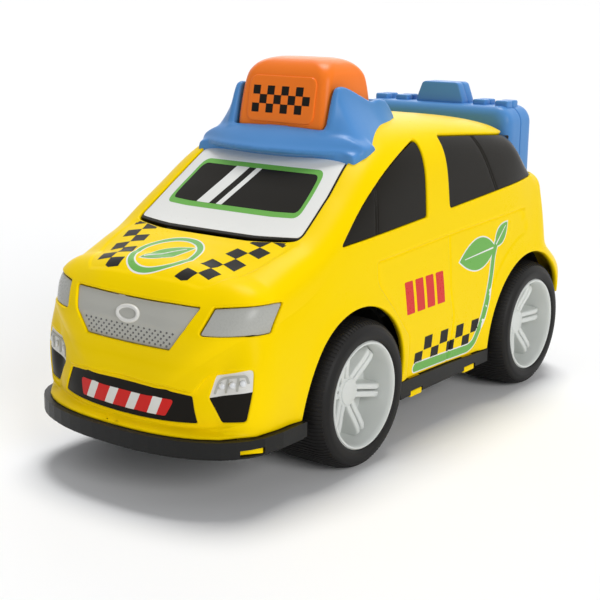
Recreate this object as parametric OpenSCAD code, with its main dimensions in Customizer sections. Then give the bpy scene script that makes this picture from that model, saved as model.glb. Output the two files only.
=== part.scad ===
/* [Body] */
// Height of the body's lower edge above the ground
body_z = 25.5; // [24:0.5:27]
// Station of the section where the nose begins
nose_y = -95; // [-97:0.5:-93]
// Length of the nose in front of that section
nose_len = 30; // [28:0.5:32]
// Station of the section where the tail begins
tail_y = 90; // [89:0.5:91]
// Length of the tail behind that section
tail_len = 36.5; // [35:0.5:38]
// Wall thickness of the yellow shell
wall = 2.2; // [1.8:0.1:2.6]
// Height of the rear body edge over the bumper
rear_edge_z = 36; // [34:0.5:38]

/* [Wheels] */
// Station of the front axle
front_axle_y = -50; // [-51:0.5:-49]
// Station of the rear axle
rear_axle_y = 82; // [81:0.5:83]
// Radius of the tyre
tyre_r = 27.5; // [26.5:0.5:28.5]
// Width of the tyre
tyre_w = 28; // [26:0.5:29]
// Radius of the rim's bright lip
rim_r = 19.9; // [19:0.1:20.5]
// Distance of the rim's lip from the middle of the car
rim_x = 53.7; // [53:0.1:54.5]
// Number of twin spokes
spokes = 6; // [5:1:7]
// Radius of the wheel arch
arch_r = 32; // [31.5:0.5:33]
// Diameter of the axle
axle_d = 4; // [3:0.5:5]

/* [Roof] */
// Width of the roof sign
sign_w = 42; // [38:0.5:43]
// Station of the sign's front face at its foot
sign_front_y = -32; // [-33:0.5:-31]
// Depth of the sign from front to back
sign_d = 33; // [30:0.5:34]
// Height of the sign's top
sign_top_z = 144; // [140:0.5:148]
// Travel of the sign when it is pressed
sign_travel = 3; // [2:0.5:3]

/* [Suitcase] */
// Width of the suitcase
case_w = 77; // [70:1:80]
// Station of the suitcase's front face
case_y = 80; // [79:0.5:82]
// Thickness of the suitcase
case_d = 24; // [20:0.5:26]
// Height of the suitcase's foot
case_z = 76.5; // [74:0.5:80]
// Height of the suitcase's top
case_top_z = 121; // [118:0.5:124]

/* [Chassis] */
// Height of the chassis underside
floor_z = 19; // [18:0.5:20]
// Height of the underside of the sills
sill_z = 16.2; // [16:0.1:18]
// Half width of the chassis between the wheels
spine_x = 24.4; // [24:0.1:25]

/* [Hidden] */
$fn = 64;
yellow = [1.0, 0.86, 0.0];
blue = [0.28, 0.52, 0.80];
orange = [0.97, 0.51, 0.14];
grey = [0.66, 0.67, 0.68];
pale_grey = [0.76, 0.78, 0.78];
black = [0.08, 0.08, 0.08];
glass_black = [0.17, 0.16, 0.15];
steel = [0.72, 0.73, 0.75];
axle_z = tyre_r;
gap = 0.15;

// Knots [station, value] of the shell's cross sections
edge_drop = [[-95, 0], [-76, 0], [-22, 1.6], [14, 2.3], [54, 3.1], [84, 0.5], [90, 0]];
half_width = [[-95, 50.8], [-50, 51], [20, 50.6], [82, 51.6], [90, 52]];
lean_in = [[-95, 3], [-60, 1.5], [0, 1], [60, 1.2], [90, 3]];
shoulder = [[-95, 61.5], [-78, 67], [-60, 77], [-35, 84], [0, 86], [40, 88.5], [70, 90], [90, 84]];
crest = [[-95, 77.5], [-82, 82.4], [-70, 86.6], [-52, 98.5], [-34, 111], [-15, 118.5], [10, 121],
  [40, 120], [66, 116.8], [76, 113.5], [83, 105], [90, 96]];
roundness = [[-95, 3.5], [-70, 4.2], [-30, 4.5], [60, 4.5], [90, 4]];
tumblehome = [[-95, 0], [-70, 0.02], [-40, 0.06], [0, 0.08], [60, 0.1], [90, 0.04]];
// Knots [height, set-back] of the tail
tail_lean = [[25, 1.5], [34, 0], [46, 1.5], [58, 9], [75, 17], [96, 26]];
side_share = 0.42;
nose_v = 0.26;
tail_v = 0.78;

function clamp01(q) = min(max(q, 0), 1);
function ease(a, b, x) = let(q = clamp01((x - a) / (b - a))) q * q * (3 - 2 * q);
function mix(a, b, q) = a + (b - a) * q;
function slope(t, i) =
  let(a = max(i - 1, 0), b = min(i + 1, len(t) - 1)) (t[b][1] - t[a][1]) / (t[b][0] - t[a][0]);
function span(t, x, i = 0) = i >= len(t) - 2 || x < t[i + 1][0] ? i : span(t, x, i + 1);
// Smooth curve through the knots of a table
function curve(t, x0) =
  let(x = min(max(x0, t[0][0]), t[len(t) - 1][0]), i = span(t, x),
      h = t[i + 1][0] - t[i][0], q = (x - t[i][0]) / h)
  (2 * q ^ 3 - 3 * q ^ 2 + 1) * t[i][1] + (q ^ 3 - 2 * q ^ 2 + q) * h * slope(t, i)
  + (3 * q ^ 2 - 2 * q ^ 3) * t[i + 1][1] + (q ^ 3 - q ^ 2) * h * slope(t, i + 1);

function edge_z(y) = body_z - curve(edge_drop, y);
// Cross section at station y: t runs from the lower edge, 0, to the middle of the roof, 1
function section(t, y) =
  let(w = curve(half_width, y), inward = curve(lean_in, y), zs = curve(shoulder, y))
  t <= side_share
  ? let(k = t / side_share)
    [w - 2.4 * clamp01(1 - k / 0.55) ^ 2 - inward * clamp01((k - 0.4) / 0.6) ^ 2,
      mix(edge_z(y), zs, k)]
  : let(a = 90 * (t - side_share) / (1 - side_share), n = curve(roundness, y), rise = sin(a) ^ (2 / n))
    [(w - inward) * max(cos(a), 0) ^ (2 / n) * (1 - curve(tumblehome, y) * rise),
      mix(zs, curve(crest, y), rise)];
function scaled(p, s) = [s * p[0], body_z + s * (p[1] - body_z)];
function dome(s, n) = max(1 - s ^ n, 0) ^ (1 / n);
// Point of the outer skin: u runs from the right lower edge, -1, over the roof to the left, 1;
// v runs from the tip of the nose, 0, to the end of the tail, 1
function skin(u, v) =
  let(t = 1 - abs(u), side = u < 0 ? -1 : 1)
  v < nose_v
  ? let(s = 1 - (1 - v / nose_v) ^ 1.6, p = scaled(section(t, nose_y), s),
        n = 2.4 - 0.2 * ease(45, 65, p[1]), set_back = 2.4 * ease(28, 44, p[1]) + 1.4 * ease(46, 62, p[1]))
    [side * p[0], nose_y - nose_len * dome(s, n) + set_back * (1 - s ^ 6), p[1]]
  : v > tail_v
  ? let(s = 1 - (1 - (1 - v) / (1 - tail_v)) ^ 1.6, p = scaled(section(t, tail_y), s),
        n = 4.8 - 2.6 * ease(44, 62, p[1]))
    [side * p[0], tail_y + tail_len * dome(s, n) - curve(tail_lean, p[1]) * (1 - s ^ 8), p[1]]
  : let(y = mix(nose_y, tail_y, (v - nose_v) / (tail_v - nose_v)), p = section(t, y))
    [side * p[0], y, p[1]];
function unit(a) = a / norm(a);
function outward(u, v) =
  let(e = 0.004, ua = max(u - e, -1), ub = min(u + e, 1), va = max(v - e, 0.002), vb = min(v + e, 0.998))
  unit(cross(skin(ub, v) - skin(ua, v), skin(u, vb) - skin(u, va)));
// Skin moved inward by d
function inset(u, v, d) = d == 0 ? skin(u, v) : skin(u, v) - d * outward(u, v);

// Closed solid under the skin, inset by d, with its foot lowered by drop
module skin_solid(nu, nv, d = 0, drop = 0) {
  n = nu + 1;
  m = nv - 1;
  last = 1 + m * n;
  foot = body_z - drop;
  rings = [for (i = [1:m], j = [0:nu])
    let(u = mix(-1, 1, j / nu), v = i / nv, p = inset(u, v, d))
    j == 0 || j == nu ? [p[0], p[1], skin(u, v)[2] - drop] : p];
  points = concat([[0, skin(0, 0)[1] + d, foot]], rings, [[0, skin(0, 1)[1] - d, foot]]);
  faces = [
    for (j = [0:nu - 1]) [0, 1 + j, 2 + j],
    [0, 1 + nu, 1],
    for (i = [0:m - 2], j = [0:nu - 1], k = [0, 1])
      let(a = 1 + i * n + j, b = a + n) k == 0 ? [a, b, b + 1] : [a, b + 1, a + 1],
    for (i = [0:m - 2], k = [0, 1])
      let(a = 1 + i * n, b = a + n) k == 0 ? [a + nu, b + nu, b] : [a + nu, b, a],
    for (j = [0:nu - 1]) [last, last - n + j + 1, last - n + j],
    [last - 1, last, last - n]
  ];
  polyhedron(points, faces, convexity = 8);
}

// Curved slab between two insets of the skin, over a range of u and v
module skin_slab(us, vs, d_out, d_in, nu, nv) {
  n = nu + 1;
  size = n * (nv + 1);
  points = [for (d = [d_out, d_in], i = [0:nv], j = [0:nu])
    inset(mix(us[0], us[1], j / nu), mix(vs[0], vs[1], i / nv), d)];
  rim = concat(
    [for (j = [0:nu]) j],
    [for (i = [1:nv]) i * n + nu],
    [for (j = [1:nu]) nv * n + nu - j],
    [for (i = [1:nv - 1]) (nv - i) * n]);
  faces = [
    for (i = [0:nv - 1], j = [0:nu - 1], k = [0, 1])
      let(a = i * n + j, b = a + n) k == 0 ? [a, b, b + 1] : [a, b + 1, a + 1],
    for (i = [0:nv - 1], j = [0:nu - 1], k = [0, 1])
      let(a = size + i * n + j, b = a + n) k == 0 ? [a, b + 1, b] : [a, a + 1, b + 1],
    for (q = [0:len(rim) - 1], k = [0, 1])
      let(a = rim[q], b = rim[(q + 1) % len(rim)]) k == 0 ? [a, b, b + size] : [a, b + size, a + size]
  ];
  polyhedron(points, faces, convexity = 6);
}

// Thin lining inside the shell, facet by facet parallel to its inner face
module lining(d_out, d_in) {
  difference() {
    skin_solid(coarse[0], coarse[1], d_out);
    skin_solid(coarse[0], coarse[1], d_in, 1);
  }
}

// Solid through closed rings of equal length
module loft(rings) {
  n = len(rings[0]);
  m = len(rings);
  faces = [
    [for (j = [0:n - 1]) j],
    for (i = [0:m - 2], j = [0:n - 1], k = [0, 1])
      let(a = i * n + j, b = i * n + (j + 1) % n) k == 0 ? [a, a + n, b + n] : [a, b + n, b],
    [for (j = [0:n - 1]) m * n - 1 - j]
  ];
  polyhedron([for (r = rings) each r], faces, convexity = 6);
}

// Points of a rounded rectangle
function rounded(w, h, r, k = 5) =
  [for (c = [[1, 1, 0], [-1, 1, 90], [-1, -1, 180], [1, -1, 270]], i = [0:k])
    [c[0] * (w / 2 - r) + r * cos(c[2] + 90 * i / k), c[1] * (h / 2 - r) + r * sin(c[2] + 90 * i / k)]];
function bezier(a, b, c, k) =
  [for (i = [0:k]) let(q = i / k) (1 - q) ^ 2 * a + 2 * q * (1 - q) * b + q ^ 2 * c];

// Outlines of the openings; front ones are [x, z], side ones [y, z]
module softened(r) { offset(r = r, $fn = 12) offset(delta = -r) children(); }
module screen_2d() {
  softened(1.6) polygon([[-38, 85.2], [-20, 84.6], [20, 84.6], [38, 85.2], [36.4, 98], [33.4, 112],
    [-33.4, 112], [-36.4, 98]]);
}
module front_window_2d() {
  softened(1.6) polygon(concat(bezier([-60, 82.2], [-34, 107], [-1, 114.8], 7), [[-3.6, 85.8]]));
}
module rear_window_2d() {
  softened(1.6) polygon([[13.2, 86.8], [14.3, 115], [40, 113.4], [66, 111.6], [112, 110], [112, 93],
    [84, 92]]);
}
module grille_2d() {
  softened(1.2) polygon(concat(bezier([-28.2, 67.6], [0, 68.4], [28.2, 67.6], 6), [[24.8, 60.3]],
    bezier([19.2, 53.9], [0, 52.2], [-19.2, 53.9], 6), [[-24.8, 60.3]]));
}
module mouth_2d() {
  softened(1) polygon(concat(bezier([-26.8, 40], [0, 42], [26.8, 40], 6),
    bezier([30.5, 30.6], [0, 30], [-30.5, 30.6], 6)));
}
// Corner outlines are drawn square to the rounded corner of the nose
module lamp_2d() { softened(1) polygon([[-58.8, 67.7], [-36.4, 68.7], [-41, 60.1], [-63.4, 59.1]]); }
module fog_2d() {
  softened(1.4) polygon([[-59.6, 48.2], [-48.5, 48.2], [-47.9, 41.6], [-50.7, 32], [-58, 31.4],
    [-62.7, 39.7]]);
}
module along_y(y0, y1) { translate([0, y1, 0]) rotate([90, 0, 0]) linear_extrude(y1 - y0) children(); }
module along_x(x0, x1) { translate([x0, 0, 0]) rotate([90, 0, 90]) linear_extrude(x1 - x0) children(); }
module on_side(side) { mirror([side < 0 ? 1 : 0, 0, 0]) children(); }
module at_corner(side) { on_side(side) rotate([0, 0, 48]) along_y(-112, -84) children(); }
module box(a, b) { translate(a) cube(b - a); }
module rod_x(x0, x1, d) { translate([x0, 0, 0]) rotate([0, 90, 0]) cylinder(d = d, h = x1 - x0); }
module rod_z(x, y, z0, z1, d) { translate([x, y, z0]) cylinder(d = d, h = z1 - z0); }
// Keeps a sculpted shape as one faceted solid
module sculpted() { resize([0, 0, 0]) children(); }

// Facet counts of the outer and the inner skin
fine = [28, 32];
coarse = [16, 20];
// Places shared by several pieces
boss_xy = [[20, -100], [-20, -100], [15, 112], [-15, 112]];
// Each tab as [x, y, angle, foot, top of its slot]
tab_set = [[44.4, -105.2, 55, 19.9, 22.4], [46.6, -6.5, 90, sill_z - 0.3, 18.6],
  [46.6, 35.5, 90, sill_z - 0.3, 18.6]];
sign_y = sign_front_y + sign_d / 2;
tub_x = sign_w / 2 + 2.5;
tub_front = sign_front_y - 2.4;
tub_back = sign_front_y + sign_d + 2.4;
well_z = 106.5;
seam_y = case_y + case_d / 2;
slide_y = 64;
cell_x = 8.2;
lip = 1.5;

module arch_cuts(r) {
  for (side = [-1, 1], y = [front_axle_y, rear_axle_y])
    on_side(side) translate([0, y, axle_z]) rod_x(28, 62, 2 * r);
}
module roof_gap(c) { box([-tub_x - c, tub_front - c, 88], [tub_x + c, tub_back + c, 132]); }
module case_gap(c) { box([-case_w / 2 - c, case_y - c, case_z - 0.2], [case_w / 2 + c, 140, 132]); }
// A tab reaches down from the shell and shows its hook in a slot of the chassis
module tabs(c, hook) {
  for (side = [-1, 1], t = tab_set)
    on_side(side) translate([t[0], t[1], 0]) rotate([0, 0, t[2]]) {
      box([-4.2 - c, -1.3 - c, t[3] - c], [4.2 + c, 1.3 + c, body_z + 2 + c]);
      box([-4.2 - c, -hook, t[3] - c], [4.2 + c, 0, t[4] - 0.3 + c]);
    }
}

module shell() {
  difference() {
    skin_solid(fine[0], fine[1]);
    skin_solid(coarse[0], coarse[1], wall, 1);
    arch_cuts(arch_r);
    along_y(-92, -24) screen_2d();
    along_x(-60, 60) front_window_2d();
    along_x(-60, 60) rear_window_2d();
    along_y(-126, -92) grille_2d();
    for (side = [-1, 1]) at_corner(side) lamp_2d();
    intersection() {
      along_y(-130, -100) mouth_2d();
      skin_slab([-0.96, 0.96], [0.004, 0.18], -1.5, 1.3, 14, 5);
    }
    for (side = [-1, 1])
      intersection() {
        at_corner(side) fog_2d();
        on_side(side) skin_slab([0.6, 0.97], [0.1, 0.25], -1.5, 1.3, 5, 5);
      }
    box([-60, 107, 20], [60, 130, rear_edge_z]);
    roof_gap(0.5);
    case_gap(0.3);
  }
}

module body_shell() {
  color(yellow) {
    sculpted() {
      shell();
      intersection() {
        skin_solid(coarse[0], coarse[1], wall - 0.6);
        union() {
          box([-22, case_y - 2, case_z - 2.2], [22, 125, case_z]);
          for (p = boss_xy) rod_z(p[0], p[1], p[1] > 0 ? 53 : 54, 80, 8);
        }
      }
      intersection() {
        tabs(0, 2.6);
        union() {
          skin_solid(coarse[0], coarse[1], 0, 8);
          translate([0, 0, -7]) skin_solid(coarse[0], coarse[1], 0, 0);
        }
      }
    }
    for (p = boss_xy)
      difference() {
        rod_z(p[0], p[1], p[1] > 0 ? rear_edge_z + 0.2 : body_z + 0.2, p[1] > 0 ? 53.5 : 54.5, 8);
        rod_z(p[0], p[1], 20, 52, 2.7);
      }
  }
}

module pane(us, vs, nu, nv) {
  intersection() {
    skin_slab(us, vs, 0.7, wall + 1.2, nu, nv);
    children();
  }
}
// Side view of the lining that joins the panes
module lining_2d() { polygon([[-77, 77], [-40, 79.5], [40, 83], [86, 86], [86, 130], [-77, 130]]); }
module window_insert() {
  color(glass_black) sculpted() difference() {
    union() {
      intersection() {
        lining(wall + 0.4, wall + 1.8);
        along_x(-60, 60) lining_2d();
      }
      pane([-0.4, 0.4], [0.3, 0.46], 10, 6) along_y(-92, -24) offset(delta = -gap) screen_2d();
      for (side = [-1, 1]) on_side(side) {
        pane([0.25, 0.63], [0.34, 0.55], 6, 6) along_x(20, 60) offset(delta = -gap) front_window_2d();
        pane([0.25, 0.63], [0.54, 0.86], 6, 9) along_x(20, 60) offset(delta = -gap) rear_window_2d();
      }
      box([-40, case_y - 3.4, case_z + 1.5], [40, case_y - 1.4, 109.6]);
    }
    roof_gap(0.9);
    case_gap(0.6);
    box([-60, 60, 60], [60, 140, case_z + 0.8]);
  }
}

// A front that fills its opening and a flange behind the shell
module nose_insert(us, vs, nu, nv) {
  intersection() {
    skin_slab(us, vs, 0.8, wall + 1.5, nu, nv);
    children(0);
  }
  intersection() {
    lining(wall + 0.3, wall + 1.6);
    children(1);
  }
}
module grille_panel() {
  color(grey) sculpted() nose_insert([-0.5, 0.5], [0.06, 0.22], 10, 5) {
    along_y(-126, -92) offset(delta = -gap) grille_2d();
    along_y(-126, -92) intersection() {
      offset(delta = 1.4) grille_2d();
      translate([-26, 0]) square([52, 100]);
    }
  }
}
module headlamp(side) {
  color(pale_grey) sculpted() on_side(side) nose_insert([0.2, 0.68], [0.12, 0.29], 7, 5) {
    at_corner(1) offset(delta = -gap) lamp_2d();
    at_corner(1) offset(delta = 1.4) lamp_2d();
  }
}
module headlamp_left() { headlamp(1); }
module headlamp_right() { headlamp(-1); }

// Chassis: a tray under the body with wheel wells, bearings and the cell box
module edge_2d() {
  left = [for (i = [0:45]) skin(1, i / 46)];
  right = [for (i = [0:45]) skin(-1, 1 - i / 46)];
  polygon([for (p = concat(left, right)) [p[0], p[1]]]);
}
module pan_2d(grow) {
  difference() {
    union() {
      offset(delta = grow) edge_2d();
      intersection() {
        offset(delta = grow + lip) edge_2d();
        translate([-70, -140]) square([140, 60]);
      }
    }
    for (side = [-1, 1], y = [front_axle_y, rear_axle_y])
      on_side(side) translate([spine_x, y - 31.5]) square([60, 63]);
  }
}
module rim_2d(grow, thick) {
  difference() {
    pan_2d(grow);
    offset(delta = -thick) pan_2d(grow);
  }
}
module sill_2d(grow) {
  intersection() {
    pan_2d(grow);
    translate([40.5, -40]) square([20, 110]);
  }
}
// Room of the shell's lowered edge between the wheels
module edge_room() {
  along_x(44.5, 60) polygon(concat([for (y = [-19:5:51]) [y, edge_z(y) - 0.1]], [[51, 30], [-19, 30]]));
}
module well(y) {
  translate([0, y, axle_z]) {
    difference() {
      rod_x(spine_x - 1.6, 43, 2 * (arch_r + 2));
      rod_x(spine_x, 50, 2 * (arch_r + 0.5));
      box([0, -50, -50], [60, 50, body_z - 0.1 - axle_z]);
    }
    box([14, -6, floor_z + 1 - axle_z], [spine_x - 0.8, 6, 7]);
  }
}
module chassis_base() {
  color(black) difference() {
    union() {
      translate([0, 0, floor_z]) linear_extrude(1.4) pan_2d(-0.6);
      translate([0, 0, floor_z + 1.2]) linear_extrude(1) pan_2d(0.8);
      translate([0, 0, floor_z + 2]) linear_extrude(body_z - floor_z - 2) rim_2d(0.8, 2.6);
      translate([0, 0, body_z - 0.1]) linear_extrude(rear_edge_z - body_z + 0.1) intersection() {
        rim_2d(0.6, 2.6);
        translate([-70, 115]) square([140, 40]);
      }
      for (side = [-1, 1]) on_side(side) {
        translate([0, 0, sill_z]) linear_extrude(0.8) sill_2d(-0.6);
        translate([0, 0, sill_z + 0.7]) linear_extrude(floor_z + 0.6 - sill_z) sill_2d(0.8);
      }
      for (side = [-1, 1], y = [front_axle_y, rear_axle_y]) on_side(side) well(y);
      for (p = boss_xy) rod_z(p[0], p[1], floor_z + 2, p[1] > 0 ? rear_edge_z : body_z, 9);
      difference() {
        box([-19.4, -11.6, floor_z + 2], [19.4, 45.8, 38.4]);
        box([-16.4, -9.6, floor_z], [16.4, 43.8, 36.8]);
      }
      rod_z(0, 50, floor_z + 2.2, 31, 7);
      box([-1.2, 45, floor_z + 3], [1.2, 49, 30]);
      difference() {
        rod_z(0, -93, floor_z + 2, 26, 30);
        rod_z(0, -93, floor_z + 2, 28, 26.6);
      }
      for (side = [-1, 1]) on_side(side) {
        box([4.8, slide_y - 8, floor_z + 2], [6.4, slide_y + 8, 24.8]);
        box([3.4, slide_y - 8, 23.2], [5, slide_y + 8, 24.8]);
      }
    }
    for (y = [front_axle_y, rear_axle_y])
      translate([0, y, axle_z]) rod_x(-30, 30, axle_d + 0.1);
    for (p = boss_xy) {
      rod_z(p[0], p[1], floor_z - 1, 40, 3.2);
      rod_z(p[0], p[1], floor_z - 1, floor_z + 2.4, 6.4);
    }
    box([-18, -11.3, floor_z - 1], [18, 54.3, floor_z + 2.2]);
    rod_z(0, 50, floor_z, 29.5, 2.4);
    for (a = [0:60:300]) rod_z(7 * cos(a), -93 + 7 * sin(a), floor_z - 1, floor_z + 3, 3);
    rod_z(0, -93, floor_z - 1, floor_z + 3, 3);
    box([-2.6, slide_y - 3.5, floor_z - 1], [2.6, slide_y + 7.5, floor_z + 3]);
    for (side = [-1, 1]) on_side(side) edge_room();
    tabs(0.3, 8);
  }
}

// A screw seen from its head, which lies below
module screw(x, y, z, len, d, head) {
  difference() {
    union() {
      rod_z(x, y, z, z + 2, head);
      rod_z(x, y, z + 1.9, z + len, d);
    }
    translate([x, y, z]) box([-head * 0.32, -0.4, -1], [head * 0.32, 0.4, 0.9]);
    translate([x, y, z]) box([-0.4, -head * 0.32, -1], [0.4, head * 0.32, 0.9]);
  }
}
module chassis_screws() {
  color(steel) for (p = boss_xy) screw(p[0], p[1], floor_z + 0.3, 31, 2.6, 5.8);
}
module battery_door() {
  color(black) difference() {
    box([-17.7, -11, floor_z], [17.7, 54, floor_z + 2.1]);
    rod_z(0, 50, floor_z - 1, floor_z + 3, 2.8);
    rod_z(0, 50, floor_z - 1, floor_z + 1.5, 5.4);
    for (y = [0:5:35]) box([-9, y, floor_z - 1], [9, y + 1.2, floor_z + 0.5]);
  }
}
module battery_door_screw() {
  color(steel) screw(0, 50, floor_z - 0.55, 11, 2.3, 5);
}
module battery(x, way) {
  color(steel) translate([x, 17.25, 29]) rotate([way * 90, 0, 0]) {
    translate([0, 0, -25.2]) cylinder(d = 14.4, h = 49.2);
    translate([0, 0, 23.9]) cylinder(d = 5.4, h = 1.3);
  }
}
module battery_left() { battery(cell_x, 1); }
module battery_right() { battery(-cell_x, -1); }
module battery_contacts() {
  color(steel) for (end = [[-9.4, 1], [43.74, -1]])
    for (x = [-cell_x, cell_x]) translate([x, end[0], 29]) rotate([-90 * end[1], 0, 0]) {
      translate([-5, -5, 0]) cube([10, 10, 0.5]);
      translate([0, 0, 0.4]) cylinder(d = 6, h = 0.8);
    }
}
module speaker() {
  color(black) {
    difference() {
      rod_z(0, -93, floor_z + 2.3, 25, 26);
      rod_z(0, -93, floor_z + 2, floor_z + 4.4, 22);
    }
    rod_z(0, -93, 24.9, 30, 15);
  }
}
module power_slide() {
  color(pale_grey) {
    box([-4.5, slide_y - 7, floor_z + 2.4], [4.5, slide_y + 3, 22.9]);
    box([-2.2, slide_y - 3.1, floor_z - 0.6], [2.2, slide_y + 2.9, 22]);
  }
}

// Roof cap: peak, wings and back round the sign, with the sign's tub below
wing_crest = [[-36, 114], [-33.4, 118], [-31, 126], [-28.4, 133], [-25.6, 134.4], [-20, 133.2],
  [-12, 130.2], [-5, 128], [1, 128.5], [6, 126.6], [11, 121]];
wing_foot = [[-36, 36.5], [-27, 38.6], [-10, 38], [0, 35], [6, 32], [11, 27]];
wing_y = [-36, -34, -32.4, -31, -29.6, -28, -26, -22, -17, -12, -7, -2, 2, 5.5, 8.5, 11];
function wing_ring(y) =
  let(c = curve(wing_crest, y), f = curve(wing_foot, y), low = 104,
      inner = sign_w / 2 - 0.5, ridge = inner + 3.8,
      flare = [for (q = [0.08, 0.2, 0.35, 0.5, 0.68, 0.85, 1])
        [ridge + (f - ridge) * q ^ 1.7, mix(c - 0.5, 111, q)]])
  [for (p = concat([[inner, low], [inner, c - 0.6], [inner + 2.2, c], [ridge, c]], flare,
    [[f + 0.6, 108], [f + 0.4, low]])) [p[0], y, p[1]]];
function peak_ring(x) =
  let(q = abs(x) / 38.4, tip = -44 + 12.5 * q ^ 2.3, top = 119.4 - 6.4 * q ^ 4, back = -24)
  [for (p = [[back, 104], [back, top + 0.4], [tub_front + 1 + 2 * q, top],
    [mix(tip, tub_front + 3, 0.55), mix(112.8, top, 0.6)], [tip + 1.2, 112.6], [tip, 111.9],
    [tip - 0.2, 110.9], [tip + 0.8, 110.1], [tip + 3.4, 109.6], [back - 2, 104]]) [x, p[0], p[1]]];
function back_ring(x) =
  let(q = abs(x) / 24)
  [for (p = [[11 - 2 * q, 112], [11 - 2 * q, 121], [7.5 - q, 125.4], [4.6, 127.8], [2.6, 128.2],
    [tub_back - 3, 127.4], [tub_back - 3, 112]]) [x, p[0], p[1]]];
module tub_room(z0) { box([-tub_x + 1.8, tub_front + 1.8, z0], [tub_x - 1.8, tub_back - 1.8, 150]); }
module roof_cap() {
  color(blue) {
    sculpted() difference() {
      union() {
        difference() {
          union() {
            for (side = [-1, 1]) on_side(side) loft([for (y = wing_y) wing_ring(y)]);
            loft([for (i = [0:14]) peak_ring(mix(-38.4, 38.4, i / 14))]);
            loft([for (i = [0:4]) back_ring(mix(-24, 24, i / 4))]);
          }
          skin_solid(fine[0], fine[1], -0.3);
        }
        box([-tub_x, tub_front, well_z - 1], [tub_x, tub_back, 118.6]);
      }
      tub_room(100);
    }
    difference() {
      union() {
        box([-tub_x, tub_front, well_z - 2], [tub_x, tub_back, well_z]);
        rod_z(0, sign_y, well_z - 2, well_z + 5, 14);
        for (x = [-14, 14], y = [-11, 11]) rod_z(x, sign_y + y, 93.6, well_z - 1, 5);
      }
      rod_z(0, sign_y, 90, 130, 8.16);
      for (x = [-14, 14], y = [-11, 11]) rod_z(x, sign_y + y, 90, 101, 2.1);
      rod_z(14, sign_y, 90, 120, 2.4);
    }
  }
}

// Roof sign: [height, half width, front, back, corner] of each ring, from its foot up
sign_rows = [[113.6, 0, 0, 0, 3], [119, 0, 0, 0, 3], [128, 0.4, 1.2, 0.9, 3.4], [136, 1, 2.8, 2.2, 4],
  [139.5, 1.9, 4, 3.6, 5], [142, 3.8, 6, 5.6, 6], [143.4, 6.4, 8.6, 8, 6.5], [144, 9.4, 11.4, 10.6, 7]];
function sign_ring(row, d) =
  let(z = row[0] < 120 ? row[0] : 119 + (row[0] - 119) * (sign_top_z - 119) / 25,
      f = sign_front_y + row[2] + d, b = sign_front_y + sign_d - row[3] - d)
  [for (p = rounded(sign_w - 2 * row[1] - 2 * d, b - f, max(row[4] - d, 1), 4))
    [p[0], p[1] + (f + b) / 2, z - d]];
module roof_sign() {
  color(orange) {
    sculpted() difference() {
      loft([for (r = sign_rows) sign_ring(r, 0)]);
      loft([for (r = sign_rows) sign_ring(r, 2.2)]);
    }
    rod_z(0, sign_y, 99.6, sign_top_z - 1.6, 8);
  }
}
module sign_spring() {
  turns = 5;
  steps = 48;
  color(steel) loft([for (i = [0:steps])
    let(a = 360 * turns * i / steps, z = mix(well_z + 1, 134.6, i / steps))
    [for (k = [0:5]) let(c = cos(60 * k), h = sin(60 * k))
      [(9 + 0.7 * c) * cos(a), sign_y + (9 + 0.7 * c) * sin(a), z - 0.7 * h]]]);
}
module sign_lamp() {
  color(pale_grey) {
    rod_z(14, sign_y, well_z + 0.05, well_z + 1, 5.6);
    rod_z(14, sign_y, well_z + 0.9, well_z + 4, 5);
    translate([14, sign_y, well_z + 4]) sphere(d = 5);
    rod_z(14, sign_y, 93.7, well_z + 0.2, 1);
  }
}
module circuit_board() {
  color([0.1, 0.35, 0.2]) difference() {
    box([-18, sign_y - 16, 92], [18, sign_y + 16, 93.55]);
    for (x = [-14, 14], y = [-11, 11]) rod_z(x, sign_y + y, 90, 95, 2.4);
  }
}
module push_switch() {
  color(black) {
    box([-3.1, sign_y - 3.1, 93.6], [3.1, sign_y + 3.1, 95.4]);
    rod_z(0, sign_y, 95.3, 96.2, 3.4);
  }
}
module board_screws() {
  color(steel) for (x = [-14, 14], y = [-11, 11]) screw(x, sign_y + y, 89.95, 10, 2, 4.4);
}

// Suitcase: two half shells that meet at a seam
function case_ring(y, d, r) =
  [for (p = rounded(case_w - 2 * d, case_top_z - case_z - 2 * d, r, 4))
    [-p[0], y, p[1] + (case_top_z + case_z) / 2]];
module case_half(way) {
  h = case_d / 2 - 0.1;
  translate([0, seam_y + 0.1 * way, 0]) mirror([0, way < 0 ? 1 : 0, 0]) {
    sculpted() difference() {
      loft([for (s = [[0, 0.7, 6.3], [0.8, 0, 7], [h - 4.4, 0, 7], [h - 2, 0.8, 6.4], [h - 0.6, 2.4, 5.4],
        [h, 4.4, 4]]) case_ring(s[0], s[1], s[2])]);
      loft([for (s = [[-1, 2.2, 4.8], [h - 4.4, 2.2, 4.8], [h - 2.2, 4, 4]])
        case_ring(s[0], s[1], s[2])]);
    }
    for (x = [-31, -20, 20, 31])
      box([x - 3.2, 0, case_top_z - 1.2], [x + 3.2, 5, case_top_z + 2.2]);
    along_y(0, 5) polygon([[-12, case_top_z - 1], [12, case_top_z - 1], [12, case_top_z + 1],
      [8.6, case_top_z + 9], [-8.6, case_top_z + 9], [-12, case_top_z + 1]]);
  }
}
module suitcase_front() { color(blue) case_half(-1); }
module suitcase_back() { color(blue) case_half(1); }

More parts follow.
